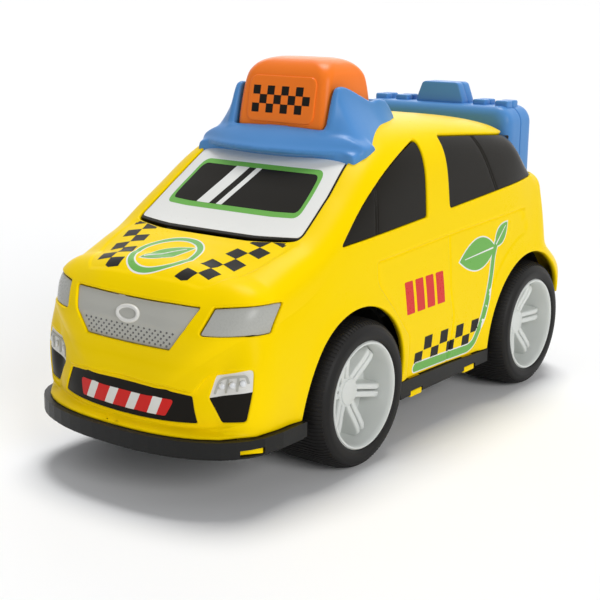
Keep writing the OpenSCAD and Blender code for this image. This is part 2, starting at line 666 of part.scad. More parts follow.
// Wheels: drawn with the lip at z = 0 and the axle along z, then turned outward
module at_wheel(side, y) { on_side(side) translate([rim_x, y, axle_z]) rotate([0, 90, 0]) children(); }
module axle(y) { color(steel) translate([0, y, axle_z]) rod_x(-rim_x + 10.5, rim_x - 10.5, axle_d); }
module front_axle() { axle(front_axle_y); }
module rear_axle() { axle(rear_axle_y); }
module rim(side, y, turn) {
  color(pale_grey) at_wheel(side, y) difference() {
    union() {
      rotate_extrude() polygon([[0, -16], [5.2, -16], [5.2, -24], [7, -24], [7, -16], [17.4, -16],
        [17.4, -27], [rim_r, -27], [rim_r, -26], [19, -25.4], [19, -2], [rim_r, -1.6], [rim_r, -0.4],
        [rim_r - 0.4, 0], [rim_r - 1, 0], [18.4, -1], [18.1, -13], [0, -13]]);
      translate([0, 0, -16]) cylinder(r = 5.6, h = 8.6);
      translate([0, 0, -8]) cylinder(r = 4.9, h = 1.2);
      for (k = [0:spokes - 1], w = [-1, 1])
        rotate([0, 0, turn + 360 * k / spokes]) translate([0, 1.5 * w, 0]) rotate([90, 0, 0])
          translate([0, 0, -0.95]) linear_extrude(1.9)
            polygon([[4.6, -13.4], [4.6, -7.6], [8, -6.8], [12, -5.6], [15.4, -5], [18.3, -5.2],
              [18.3, -13.4]]);
    }
    translate([0, 0, -25]) cylinder(d = axle_d + 0.04, h = 15);
  }
}
module tyre(side, y) {
  color(black) at_wheel(side, y) translate([0, 0, 0.5]) rotate_extrude($fn = 96)
    polygon([[rim_r + 0.1, -2.3], [rim_r + 0.1, -0.6], [21, -0.1], [23, 0], [24.6, -0.5], [25.9, -1.7],
      [26.8, -3.4], [tyre_r - 0.2, -5], [tyre_r, -7], [tyre_r, 3 - tyre_w], [26.7, 1.2 - tyre_w],
      [25.4, -tyre_w], [rim_r + 0.1, -tyre_w], [rim_r + 0.1, -26.3], [19.1, -25.7], [19.1, -2.7]]);
}
module front_rim_left() { rim(1, front_axle_y, 20); }
module front_rim_right() { rim(-1, front_axle_y, 20); }
module rear_rim_left() { rim(1, rear_axle_y, 32); }
module rear_rim_right() { rim(-1, rear_axle_y, 32); }
module front_tyre_left() { tyre(1, front_axle_y); }
module front_tyre_right() { tyre(-1, front_axle_y); }
module rear_tyre_left() { tyre(1, rear_axle_y); }
module rear_tyre_right() { tyre(-1, rear_axle_y); }

body_shell();
window_insert();
grille_panel();
headlamp_left();
headlamp_right();
chassis_base();
chassis_screws();
battery_door();
battery_door_screw();
battery_left();
battery_right();
battery_contacts();
speaker();
circuit_board();
push_switch();
sign_lamp();
sign_spring();
board_screws();
roof_cap();
roof_sign();
suitcase_front();
suitcase_back();
power_slide();
front_axle();
rear_axle();
front_rim_left();
front_rim_right();
rear_rim_left();
rear_rim_right();
front_tyre_left();
front_tyre_right();
rear_tyre_left();
rear_tyre_right();
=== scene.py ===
import math

import bmesh
import bpy
import numpy as np
from mathutils import Matrix, Vector
from mathutils.geometry import delaunay_2d_cdt
from mathutils.kdtree import KDTree


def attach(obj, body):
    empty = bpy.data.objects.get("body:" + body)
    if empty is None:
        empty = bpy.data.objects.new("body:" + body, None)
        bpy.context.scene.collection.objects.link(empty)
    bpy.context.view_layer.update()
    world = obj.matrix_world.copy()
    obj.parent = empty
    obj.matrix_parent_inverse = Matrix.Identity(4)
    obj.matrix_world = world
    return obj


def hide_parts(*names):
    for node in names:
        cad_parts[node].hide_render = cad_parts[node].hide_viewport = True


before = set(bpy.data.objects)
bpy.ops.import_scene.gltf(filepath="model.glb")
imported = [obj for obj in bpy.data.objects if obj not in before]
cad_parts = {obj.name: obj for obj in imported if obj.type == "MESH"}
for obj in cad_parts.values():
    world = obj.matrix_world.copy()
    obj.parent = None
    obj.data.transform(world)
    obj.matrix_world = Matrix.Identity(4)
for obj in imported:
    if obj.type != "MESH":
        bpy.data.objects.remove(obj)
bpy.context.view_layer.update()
mm = 0.001  # shapes below are written in millimetres
scene = bpy.context.scene
scene.view_settings.view_transform = "Standard"
print("frame loaded:", len(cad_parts), "nodes")


def addNode(tree, kind, inputs=(), **settings):  # inputs are fed by a socket or hold a plain value
    node = tree.nodes.new(kind)
    for key, value in settings.items():
        setattr(node, key, value)
    for key, value in dict(inputs).items():
        if isinstance(value, bpy.types.NodeSocket):
            tree.links.new(value, node.inputs[key])
        else:
            node.inputs[key].default_value = value
    return node


def addSocket(tree, name, way, kind, value=None):
    socket = tree.interface.new_socket(name=name, in_out=way, socket_type="NodeSocket" + kind)
    if value is not None:
        socket.default_value = value
    return socket.identifier


# Camera, light and floor
cameraSet = {
    "place": (291.0, -415.1, 166.8), "aim": (0, -22.98, 49.78), "roll": 0.66,
    "lens": 76.1, "sensor": 36, "shiftX": 0.0143, "shiftY": -0.0008, "clip": (0.01, 100),
}


def makeCamera(spec):
    data = bpy.data.cameras.new("camera")
    data.sensor_width, data.lens = spec["sensor"], spec["lens"]
    data.shift_x, data.shift_y = spec["shiftX"], spec["shiftY"]
    data.clip_start, data.clip_end = spec["clip"]
    camera = bpy.data.objects.new("camera", data)
    place, aim = Vector(spec["place"]) * mm, Vector(spec["aim"]) * mm
    turn = (aim - place).to_track_quat("-Z", "Y").to_matrix().to_4x4()
    roll = Matrix.Rotation(math.radians(spec["roll"]), 4, "Z")
    camera.matrix_world = Matrix.Translation(place) @ turn @ roll
    scene.collection.objects.link(camera)
    scene.camera = camera


lightSet = {  # name: where it shines from, strength, apparent size in degrees
    "top": ((-0.15, 0.3, 1.0), 2.0, 24),
    "side": ((0.95, -0.36, 0.45), 1.35, 30),
    "back": ((-0.5, 0.9, 0.5), 0.35, 40),
}
worldSet = {"light": (0.95, 0.97, 1.0), "strength": 0.24, "seen": (1, 1, 1)}
floorSet = {"size": 60.0, "tone": (0.96, 0.96, 0.96), "roughness": 1.0, "specular": 0.0}


def makeLight(name, place, strength, size):
    data = bpy.data.lights.new(name, "SUN")
    data.energy, data.angle = strength, math.radians(size)
    lamp = bpy.data.objects.new(name, data)
    lamp.location = place
    lamp.rotation_euler = (-Vector(place)).to_track_quat("-Z", "Y").to_euler()
    scene.collection.objects.link(lamp)


def seenDirectly(tree):  # 1 for rays that show the backdrop: straight, mirrored or through glass
    path = addNode(tree, "ShaderNodeLightPath").outputs
    last = path["Is Camera Ray"]
    for kind in ("Is Glossy Ray", "Is Transmission Ray"):
        last = addNode(tree, "ShaderNodeMath", {0: last, 1: path[kind]}, operation="MAXIMUM").outputs[0]
    return last


def makeWorld(spec):
    scene.world = scene.world or bpy.data.worlds.new("studio")
    scene.world.use_nodes = True
    tree = scene.world.node_tree
    tree.nodes.clear()
    light = addNode(tree, "ShaderNodeBackground", {"Color": (*spec["light"], 1), "Strength": spec["strength"]})
    seen = addNode(tree, "ShaderNodeBackground", {"Color": (*spec["seen"], 1)})
    both = {"Fac": seenDirectly(tree), 1: light.outputs[0], 2: seen.outputs[0]}
    addNode(tree, "ShaderNodeOutputWorld", {"Surface": addNode(tree, "ShaderNodeMixShader", both).outputs[0]})


def makeFloor(spec):
    half = spec["size"] / 2
    corners = [(-half, -half, 0), (half, -half, 0), (half, half, 0), (-half, half, 0)]
    mesh = bpy.data.meshes.new("floor")
    mesh.from_pydata(corners, [], [(0, 1, 2, 3)])
    floor = bpy.data.objects.new("floor", mesh)
    scene.collection.objects.link(floor)
    material = bpy.data.materials.new("paleFloor")
    material.use_nodes = True
    shader = material.node_tree.nodes["Principled BSDF"].inputs
    shader["Base Color"].default_value = (*spec["tone"], 1)
    shader["Roughness"].default_value = spec["roughness"]
    shader["Specular IOR Level"].default_value = spec["specular"]
    mesh.materials.append(material)


makeCamera(cameraSet)
for name, spec in lightSet.items():
    makeLight(name, *spec)
makeWorld(worldSet)
makeFloor(floorSet)
print("studio ready")

# The car's outer skin: u runs from the right lower edge, -1, over the roof to the left, 1,
# and v from the tip of the nose, 0, to the end of the tail, 1
skinSet = {
    "edgeZ": 25.5, "noseY": -95.0, "noseLength": 30.0, "tailY": 90.0, "tailLength": 36.5, "wall": 2.2,
    "sideShare": 0.42, "noseV": 0.26, "tailV": 0.78, "rearEdgeZ": 36.0, "archRadius": 32.0,
    "edgeDrop": [(-95, 0), (-76, 0), (-22, 1.6), (14, 2.3), (54, 3.1), (84, 0.5), (90, 0)],
    "halfWidth": [(-95, 50.8), (-50, 51), (20, 50.6), (82, 51.6), (90, 52)],
    "leanIn": [(-95, 3), (-60, 1.5), (0, 1), (60, 1.2), (90, 3)], "leanFrom": 0.4,
    "shoulder": [(-95, 61.5), (-78, 67), (-60, 77), (-35, 84), (0, 86), (40, 88.5), (70, 90), (90, 84)],
    "crest": [(-95, 77.5), (-82, 82.4), (-70, 86.6), (-52, 98.5), (-34, 111), (-15, 118.5), (10, 121),
              (40, 120), (66, 116.8), (76, 113.5), (83, 105), (90, 96)],
    "roundness": [(-95, 3.5), (-70, 4.2), (-30, 4.5), (60, 4.5), (90, 4)],
    "tumblehome": [(-95, 0), (-70, 0.02), (-40, 0.06), (0, 0.08), (60, 0.1), (90, 0.04)],
    "footIn": (2.4, 0.55),  # how far the side tucks in at its foot, and over which share of its height
    "endPower": 1.6, "noseFade": 6, "tailFade": 8,
    "noseRound": (2.4, -0.2, (45, 65)), "tailRound": (4.8, -2.6, (44, 62)),  # power, change, heights
    "setBack": [(2.4, (28, 44)), (1.4, (46, 62))],
    "tailLean": [(25, 1.5), (34, 0), (46, 1.5), (58, 9), (75, 17), (96, 26)],
}
axleY = {"front": -50.0, "rear": 82.0}
axleZ = 27.5


def clamp01(q):
    return np.clip(q, 0.0, 1.0)


def ease(a, b, x):
    q = clamp01((x - a) / (b - a))
    return q * q * (3 - 2 * q)


def curveAt(knots, x):  # smooth curve through the knots of a table
    at, to = np.array(knots, float).T
    slope = np.empty(len(at))
    slope[0], slope[-1] = (to[1] - to[0]) / (at[1] - at[0]), (to[-1] - to[-2]) / (at[-1] - at[-2])
    slope[1:-1] = (to[2:] - to[:-2]) / (at[2:] - at[:-2])
    x = np.clip(x, at[0], at[-1])
    i = np.clip(np.searchsorted(at, x, side="right") - 1, 0, len(at) - 2)
    h = at[i + 1] - at[i]
    q = (x - at[i]) / h
    return ((2 * q**3 - 3 * q**2 + 1) * to[i] + (q**3 - 2 * q**2 + q) * h * slope[i]
            + (3 * q**2 - 2 * q**3) * to[i + 1] + (q**3 - q**2) * h * slope[i + 1])


def edgeAt(y):  # height of the body's lower edge
    return skinSet["edgeZ"] - curveAt(skinSet["edgeDrop"], y)


def sectionAt(t, y):
    s = skinSet
    w, inward, zs = (curveAt(s[key], y) for key in ("halfWidth", "leanIn", "shoulder"))
    low = clamp01(t / s["sideShare"])
    k = clamp01((t - s["sideShare"]) / (1 - s["sideShare"]))
    a = np.pi / 2 * k * k * (3 - 2 * k)
    n = curveAt(s["roundness"], y)
    rise = np.sin(a) ** (2 / n)
    upX = (w - inward) * np.maximum(np.cos(a), 0) ** (2 / n) * (1 - curveAt(s["tumblehome"], y) * rise)
    upZ = zs + (curveAt(s["crest"], y) - zs) * rise
    tuck, share = s["footIn"]
    lean = clamp01((low - s["leanFrom"]) / (1 - s["leanFrom"]))
    lowX = w - tuck * clamp01(1 - low / share) ** 2 - inward * lean**2
    lowZ = edgeAt(y) + (zs - edgeAt(y)) * low
    upper = t > s["sideShare"]
    return np.where(upper, upX, lowX), np.where(upper, upZ, lowZ)


def skinAt(u, v):
    s = skinSet
    u, v = np.broadcast_arrays(np.asarray(u, float), np.asarray(v, float))
    mid = clamp01((v - s["noseV"]) / (s["tailV"] - s["noseV"]))
    y = s["noseY"] + (s["tailY"] - s["noseY"]) * mid
    x, z = sectionAt(clamp01(1 - np.abs(u)), y)
    nose = 1 - (1 - clamp01(v / s["noseV"])) ** s["endPower"]
    tail = 1 - (1 - clamp01((1 - v) / (1 - s["tailV"]))) ** s["endPower"]
    part = np.where(v < s["noseV"], nose, np.where(v > s["tailV"], tail, 1.0))
    x, z = x * part, s["edgeZ"] + (z - s["edgeZ"]) * part
    n, m = (power + change * ease(*span, z) for power, change, span in (s["noseRound"], s["tailRound"]))
    setBack = sum(depth * ease(*span, z) for depth, span in s["setBack"])
    noseY = (s["noseY"] - s["noseLength"] * np.maximum(1 - nose**n, 0) ** (1 / n)
             + setBack * (1 - nose ** s["noseFade"]))
    tailY = (s["tailY"] + s["tailLength"] * np.maximum(1 - tail**m, 0) ** (1 / m)
             - curveAt(s["tailLean"], z) * (1 - tail ** s["tailFade"]))
    y = np.where(v < s["noseV"], noseY, np.where(v > s["tailV"], tailY, y))
    return np.stack([np.where(u < 0, -x, x), y, z], -1)


def unit(a):
    return a / np.maximum(np.linalg.norm(a, axis=-1, keepdims=True), 1e-12)


def outwardAt(u, v, place=skinAt, e=0.003):
    ua, ub = np.clip(u - e, -1, 1), np.clip(u + e, -1, 1)
    va, vb = np.clip(v - e, 0.0005, 0.9995), np.clip(v + e, 0.0005, 0.9995)
    return unit(np.cross(place(ub, v) - place(ua, v), place(u, vb) - place(u, va)))


# Finding u and v of points known by two measures, such as side view y and z, within a room
gridU, gridV = (a.ravel() for a in np.meshgrid(np.linspace(-1, 1, 301), np.linspace(0.001, 0.999, 401)))
gridPoint = skinAt(gridU, gridV)
cornerTurn = math.radians(48)
sideView = np.array([(0, 0), (1, 0), (0, 1.0)])
frontView = np.array([(1, 0), (0, 0), (0, 1.0)])
topView = np.array([(1, 0), (0, 1.0), (0, 0)])
cornerView = np.array([(math.cos(cornerTurn), 0), (math.sin(cornerTurn), 0), (0, 1)])
far = 1e6


def room(x=(-far, far), y=(-far, far), z=(-far, far)):  # low and high corner
    return np.array([x, y, z]).T


onLeft, onTop, onNose = room(x=(20, far), y=(-112, far)), room(z=(74, far)), room(y=(-far, -92))
onNoseLeft, onBonnet = room(x=(5, far), y=(-far, -70)), room(y=(-far, -58), z=(62, far))
onScreen, onRoofEnd = room(y=(-93, -20), z=(78, far)), room(y=(55, far), z=(98, far))
onPocket, onTail, onTailFoot = (room(y=(y, far)) for y in (62, 85, 96))
finder = {"rounds": 14, "e": 1e-4, "leastDet": 1e-3, "step": 0.02, "u": (-0.9995, 0.9995),
          "v": (0.0006, 0.9994)}


def findOnSkin(wanted, view, where):
    wanted, e = np.asarray(wanted, float), finder["e"]
    allowed = np.flatnonzero(((gridPoint > where[0]) & (gridPoint < where[1])).all(1))
    seen = gridPoint[allowed] @ view
    best = np.array([np.argmin(((seen - w) ** 2).sum(1)) for w in wanted])
    u, v = gridU[allowed][best], gridV[allowed][best]
    for _ in range(finder["rounds"]):
        p = skinAt(u, v) @ view
        du, dv = (skinAt(u + e, v) @ view - p) / e, (skinAt(u, v + e) @ view - p) / e
        det = du[:, 0] * dv[:, 1] - du[:, 1] * dv[:, 0]
        det = np.where(np.abs(det) < finder["leastDet"], finder["leastDet"], det)
        gap = wanted - p
        stepU = (gap[:, 0] * dv[:, 1] - gap[:, 1] * dv[:, 0]) / det
        stepV = (du[:, 0] * gap[:, 1] - du[:, 1] * gap[:, 0]) / det
        u = np.clip(u + np.clip(stepU, -finder["step"], finder["step"]), *finder["u"])
        v = np.clip(v + np.clip(stepV, -finder["step"], finder["step"]), *finder["v"])
    return np.stack([u, v], -1)


def levelLine(first, second, view, where):  # points by the view's two measures, one of them a single level
    return findOnSkin(np.stack(np.broadcast_arrays(first, second), -1).astype(float), view, where)


def mirrored(loop):
    return (np.asarray(loop) * [-1, 1])[::-1]


def bothLines(line):  # left and right, in the same direction
    return [line, line * [-1, 1]]


# Outlines in a plane
def bezier(a, b, c, count):
    q = np.linspace(0, 1, count + 1)[:, None]
    return (1 - q) ** 2 * np.array(a, float) + 2 * q * (1 - q) * np.array(b, float) + q**2 * np.array(c, float)


def ellipse(middle, radii, count=72):
    a = np.linspace(0, 2 * math.pi, count, endpoint=False)
    return np.array(middle) + np.stack([radii[0] * np.cos(a), radii[1] * np.sin(a)], -1)


def turnWay(points):
    x, y = np.asarray(points, float).T
    return 1 if (x * np.roll(y, -1) - np.roll(x, -1) * y).sum() > 0 else -1


def rounded(points, radius, steps=6):  # every real corner becomes an arc
    points, out = np.asarray(points, float), []
    for i, p in enumerate(points):
        a, b = points[i - 1] - p, points[(i + 1) % len(points)] - p
        la, lb = np.linalg.norm(a), np.linalg.norm(b)
        a, b = a / la, b / lb
        bend = math.acos(np.clip(-(a @ b), -1, 1))
        if bend < 0.3:
            out.append(p)
            continue
        cut = min(radius * math.tan(bend / 2), 0.45 * la, 0.45 * lb)
        out.extend(bezier(p + a * cut, p, p + b * cut, steps))
    return np.array(out)


def grown(points, d):  # outline moved outwards by d
    points = np.asarray(points, float)
    way = turnWay(points)
    before, after = unit(points - np.roll(points, 1, 0)), unit(np.roll(points, -1, 0) - points)
    mid = (before + after)[:, ::-1] * [1, -1] * way
    return points + d * mid * 2 / np.maximum((mid**2).sum(1, keepdims=True), 0.6)


def dense(points, step=1.2, closed=True):
    points = np.asarray(points, float)
    ends = np.roll(points, -1, 0) if closed else points[1:]
    out = []
    for a, b in zip(points, ends):
        count = max(1, int(np.ceil(np.linalg.norm(b - a) / step)))
        out.extend(a + (b - a) * (np.arange(count) / count)[:, None])
    return np.array(out if closed else [*out, points[-1]])


def softLine(points, radius=3.0):  # open line with eased corners
    points = np.asarray(points, float)
    out = [points[0]]
    for a, p, b in zip(points[:-2], points[1:-1], points[2:]):
        la, lb = np.linalg.norm(a - p), np.linalg.norm(b - p)
        cut = min(radius, 0.45 * la, 0.45 * lb)
        out.extend(bezier(p + (a - p) / la * cut, p, p + (b - p) / lb * cut, 6))
    out.append(points[-1])
    return dense(out, 1.6, False)


def besideLine(line, d):
    return line + d * unit(np.gradient(line, axis=0))[:, ::-1] * [-1, 1]


def inside(points, loop):
    x, y = points[:, 0], points[:, 1]
    hit = np.zeros(len(points), bool)
    for (ax, ay), (bx, by) in zip(loop, np.roll(loop, -1, 0)):
        if ay == by:
            continue
        cross = (ay > y) != (by > y)
        hit ^= cross & (x < (bx - ax) * (y - ay) / (by - ay) + ax)
    return hit


def cutBy(outline, point, inward):  # part of an outline on the inward side of a line
    outline = np.asarray(outline, float).reshape(-1, 2)
    side = (outline - point) @ inward
    kept = []
    for a, b, sa, sb in zip(outline, np.roll(outline, -1, 0), side, np.roll(side, -1)):
        if sa >= 0:
            kept.append(a)
        if sa * sb < 0:
            kept.append(a + (b - a) * sa / (sa - sb))
    return np.array(kept)


def halfPlane(outline, point, slope, above):  # part of an outline above or below a slanted line
    return cutBy(outline, point, np.array([-slope, 1.0]) * (1 if above else -1))


def clipped(outline, other):  # part of a convex outline inside another
    for a, b in zip(other, np.roll(other, -1, 0)):
        outline = cutBy(outline, a, np.array([-(b - a)[1], (b - a)[0]]) * turnWay(other))
    return outline


def lineGap(points, line):  # distance of points to an open line, in a plane
    best = np.full(len(points), 1e9)
    for a, b in zip(line[:-1], line[1:]):
        ab = b - a
        q = clamp01(((points - a) @ ab) / (ab @ ab))
        best = np.minimum(best, np.linalg.norm(points - a - q[:, None] * ab, axis=1))
    return best


# Meshes
def linkObject(name, mesh):
    piece = bpy.data.objects.new(name, mesh)
    scene.collection.objects.link(piece)
    return piece


def meshFrom(name, points, faces):
    mesh = bpy.data.meshes.new(name)
    mesh.from_pydata((np.asarray(points) * mm).tolist(), [], [tuple(int(i) for i in f) for f in faces])
    mesh.polygons.foreach_set("use_smooth", [True] * len(mesh.polygons))
    mesh.update()
    return mesh


def bmOf(mesh):
    bm = bmesh.new()
    bm.from_mesh(mesh)
    return bm


def solidFrom(points, faces):  # faces turned outwards
    mesh = meshFrom("solid", points, faces)
    bm = bmOf(mesh)
    bpy.data.meshes.remove(mesh)
    bmesh.ops.recalc_face_normals(bm, faces=bm.faces)
    return bm


def loft(rings):
    rings = np.asarray(rings, float)
    m, n = rings.shape[:2]
    faces = [tuple(range(n)), tuple(range(m * n - 1, (m - 1) * n - 1, -1))]
    for i in range(m - 1):
        for j in range(n):
            k = (j + 1) % n
            faces.append((i * n + j, (i + 1) * n + j, (i + 1) * n + k, i * n + k))
    return solidFrom(rings.reshape(-1, 3), faces)


def bevelled(bm, edges, offset, segments):
    bmesh.ops.bevel(bm, geom=edges, offset=offset * mm, segments=segments, profile=0.5, affect="EDGES")
    return bm


def roundedBox(low, high, radius, segments=3):
    bm = bmesh.new()
    bmesh.ops.create_cube(bm, size=1)
    low, high = np.array(low, float), np.array(high, float)
    for v in bm.verts:
        v.co = Vector((low + high) / 2 * mm) + Vector(np.array(v.co) * (high - low) * mm)
    bevelled(bm, bm.edges[:], radius, segments)
    bmesh.ops.recalc_face_normals(bm, faces=bm.faces)
    return bm


def turned(bm, matrix):
    bmesh.ops.transform(bm, matrix=matrix, verts=bm.verts)
    if matrix.determinant() < 0:
        bmesh.ops.reverse_faces(bm, faces=bm.faces)
    return bm


def shifted(x, y, z, turn=0.0):
    return Matrix.Translation(Vector((x, y, z)) * mm) @ Matrix.Rotation(math.radians(turn), 4, "Z")


flipX = Matrix.Scale(-1, 4, (1, 0, 0))


def meshOf(name, parts, smooth=True, sharp=None):  # one mesh from several bmesh parts
    whole = bmesh.new()
    for bm in parts:
        part = bpy.data.meshes.new("part")
        bm.to_mesh(part)
        bm.free()
        whole.from_mesh(part)
        bpy.data.meshes.remove(part)
    mesh = bpy.data.meshes.new(name)
    whole.to_mesh(mesh)
    whole.free()
    mesh.polygons.foreach_set("use_smooth", [smooth] * len(mesh.polygons))
    if sharp:
        mesh.set_sharp_from_angle(angle=math.radians(sharp))
    return mesh


# A shaped piece of the skin: closed, with a rolled lip along every edge
flatScale = np.array([140.0, 310.0])  # one unit of u and v in millimetres, roughly


def withinLoops(points, loops):
    keep = inside(points, loops[0])
    for hole in loops[1:]:
        keep &= ~inside(points, hole)
    return keep


def openEdges(faces):  # edges of one face only, in that face's direction
    pairs = dict.fromkeys((a, b) for f in faces for a, b in zip(f, (*f[1:], f[0])))
    return [(a, b) for a, b in pairs if (b, a) not in pairs]


def fillLoops(outer, holes, lines, cell):  # triangles inside an outline, round holes and along inner lines
    loops = [np.asarray(loop) * flatScale for loop in (outer, *holes)]
    flat, edges = [], []
    for k, path in enumerate([*loops, *(np.asarray(line) * flatScale for line in lines)]):
        base, n = len(flat), len(path)
        flat.extend(path)
        edges.extend((base + i, base + (i + 1) % n) for i in range(n if k < len(loops) else n - 1))
    tree = KDTree(len(flat))
    for i, p in enumerate(flat):
        tree.insert((*p, 0), i)
    tree.balance()
    spread = [np.linspace(a, b, max(2, int((b - a) / cell)) + 1)[1:-1]
              for a, b in zip(loops[0].min(0), loops[0].max(0))]
    grid = np.stack(np.meshgrid(*spread), -1).reshape(-1, 2)
    grid = grid[withinLoops(grid, loops)]
    flat.extend(p for p in grid if tree.find((*p, 0))[2] > 0.55 * cell)
    made = delaunay_2d_cdt([Vector(p) for p in flat], edges, [], 0, 1e-5)
    at = np.array([tuple(p) for p in made[0]])
    faces = np.array([f for f in made[2] if len(f) == 3])
    faces = faces[withinLoops(at[faces].mean(1), loops)]
    used = np.unique(faces)
    place = np.full(len(at), -1)
    place[used] = np.arange(len(used))
    return at[used] / flatScale, place[faces]


def skinSheet(outer, holes=(), lines=(), depth=0.0, thick=2.2, relief=None, roll=0.5, cell=2.2, steps=4):
    def form(u, v):
        return skinAt(u, v) - outwardAt(u, v) * relief(u, v)[..., None] if relief else skinAt(u, v)

    uv, faces = fillLoops(outer, holes, lines, cell)
    count = len(uv)
    normal = outwardAt(*uv.T)
    seen = outwardAt(*uv.T, form, 0.0008) if relief else normal
    top = form(*uv.T) - depth * normal
    rim = openEdges(faces)
    away = np.zeros((count, 3))
    for a, b in rim:
        out = unit(np.cross(top[b] - top[a], normal[a] + normal[b]))
        away[a] += out
        away[b] += out
    rimPoints = sorted({a for a, b in rim})
    slot = {p: i for i, p in enumerate(rimPoints)}
    away = unit(away[rimPoints])
    turn = [math.pi / 2 * (i + 1) / steps for i in range(steps)]
    profile = [(roll * math.sin(a), roll * (1 - math.cos(a))) for a in turn] + [(roll, thick)]
    points = [top, top - thick * normal]
    points += [top[rimPoints] + out * away - down * normal[rimPoints] for out, down in profile]
    allFaces = list(faces) + [f[::-1] + count for f in faces]
    starts = [2 * count + k * len(rimPoints) for k in range(len(profile))]
    for a, b in rim:
        strip = [(a, b), *((k + slot[a], k + slot[b]) for k in starts), (a + count, b + count)]
        allFaces += [(q, p, r, s) for (p, q), (r, s) in zip(strip[:-1], strip[1:])]
    return np.concatenate(points), allFaces, faces, seen


def mirroredSheet(sheet):
    points, faces, shown, seen = sheet
    return points * [-1, 1, 1], [f[::-1] for f in faces], [f[::-1] for f in shown], seen * [-1, 1, 1]


def bothSheets(sheet):
    return [sheet, mirroredSheet(sheet)]


def sheetMesh(name, sheets):  # one mesh from several sheets, with the skin's own normals on its face
    points, faces, normals = [], [], []
    base = 0
    for place, sheetFaces, shown, seen in sheets:
        points.append(place)
        for k, face in enumerate(sheetFaces):
            faces.append([int(i) + base for i in face])
            normals += [tuple(seen[i]) for i in face] if k < len(shown) else [(0, 0, 0)] * len(face)
        base += len(place)
    mesh = meshFrom(name, np.concatenate(points), faces)
    mesh.normals_split_custom_set(normals)
    return mesh


# Finishes: one shared group gives moulded plastic its tone drift, gloss drift and fine grain
def makeMouldGroup():
    tree = bpy.data.node_groups.new("mouldedSurface", "ShaderNodeTree")
    for name, kind, value in (("Base", "Color", (0.5, 0.5, 0.5, 1)), ("Deep", "Color", (0.4, 0.4, 0.4, 1)),
                              ("Drift", "Float", 30), ("Grain", "Float", 900),
                              ("Gloss low", "Float", 0.2), ("Gloss high", "Float", 0.3)):
        addSocket(tree, name, "INPUT", kind, value)
    for name, kind in (("Color", "Color"), ("Roughness", "Float"), ("Height", "Float")):
        addSocket(tree, name, "OUTPUT", kind)
    given = addNode(tree, "NodeGroupInput").outputs
    where = addNode(tree, "ShaderNodeTexCoord").outputs["Object"]
    noises = [{"Vector": where, "Scale": given[scale], "Detail": detail}
              for scale, detail in (("Drift", 3), ("Grain", 2))]
    broad, fine = (addNode(tree, "ShaderNodeTexNoise", noise).outputs["Fac"] for noise in noises)
    tones = {"Factor": broad, "A": given["Base"], "B": given["Deep"]}
    tone = addNode(tree, "ShaderNodeMix", tones, data_type="RGBA")
    half = addNode(tree, "ShaderNodeMath", {0: broad, 1: 0.5}, operation="MULTIPLY")
    both = addNode(tree, "ShaderNodeMath", {0: fine, 1: 0.5, 2: half.outputs[0]}, operation="MULTIPLY_ADD")
    gloss = addNode(tree, "ShaderNodeMapRange", {"Value": both.outputs[0], "From Min": 0.3, "From Max": 0.7,
                                                 "To Min": given["Gloss low"], "To Max": given["Gloss high"]})
    addNode(tree, "NodeGroupOutput", {"Color": tone.outputs["Result"], "Roughness": gloss.outputs["Result"],
                                      "Height": fine})
    return tree


mouldGroup = makeMouldGroup()


def linear(color):  # screen values 0-255 to linear light
    return [(c / 255 / 12.92) if c <= 10 else ((c / 255 + 0.055) / 1.055) ** 2.4 for c in color]


def makeFinish(name, base, deep, gloss, drift=25, grain=1400, bump=0.02, coat=0.0, metal=0.0, specular=0.18):
    material = bpy.data.materials.new(name)
    material.use_nodes = True
    tree = material.node_tree
    surface = addNode(tree, "ShaderNodeGroup", node_tree=mouldGroup)
    for key, value in (("Base", (*linear(base), 1)), ("Deep", (*linear(deep), 1)), ("Drift", drift),
                       ("Grain", grain), ("Gloss low", gloss[0]), ("Gloss high", gloss[1])):
        surface.inputs[key].default_value = value
    grainHeight = {"Strength": bump, "Distance": 0.0002, "Height": surface.outputs["Height"]}
    lift = addNode(tree, "ShaderNodeBump", grainHeight)
    shader = tree.nodes["Principled BSDF"].inputs
    tree.links.new(surface.outputs["Color"], shader["Base Color"])
    tree.links.new(surface.outputs["Roughness"], shader["Roughness"])
    tree.links.new(lift.outputs["Normal"], shader["Normal"])
    for key, value in (("Metallic", metal), ("Specular IOR Level", specular), ("Coat Weight", coat),
                       ("Coat Roughness", 0.08)):
        shader[key].default_value = value
    return material


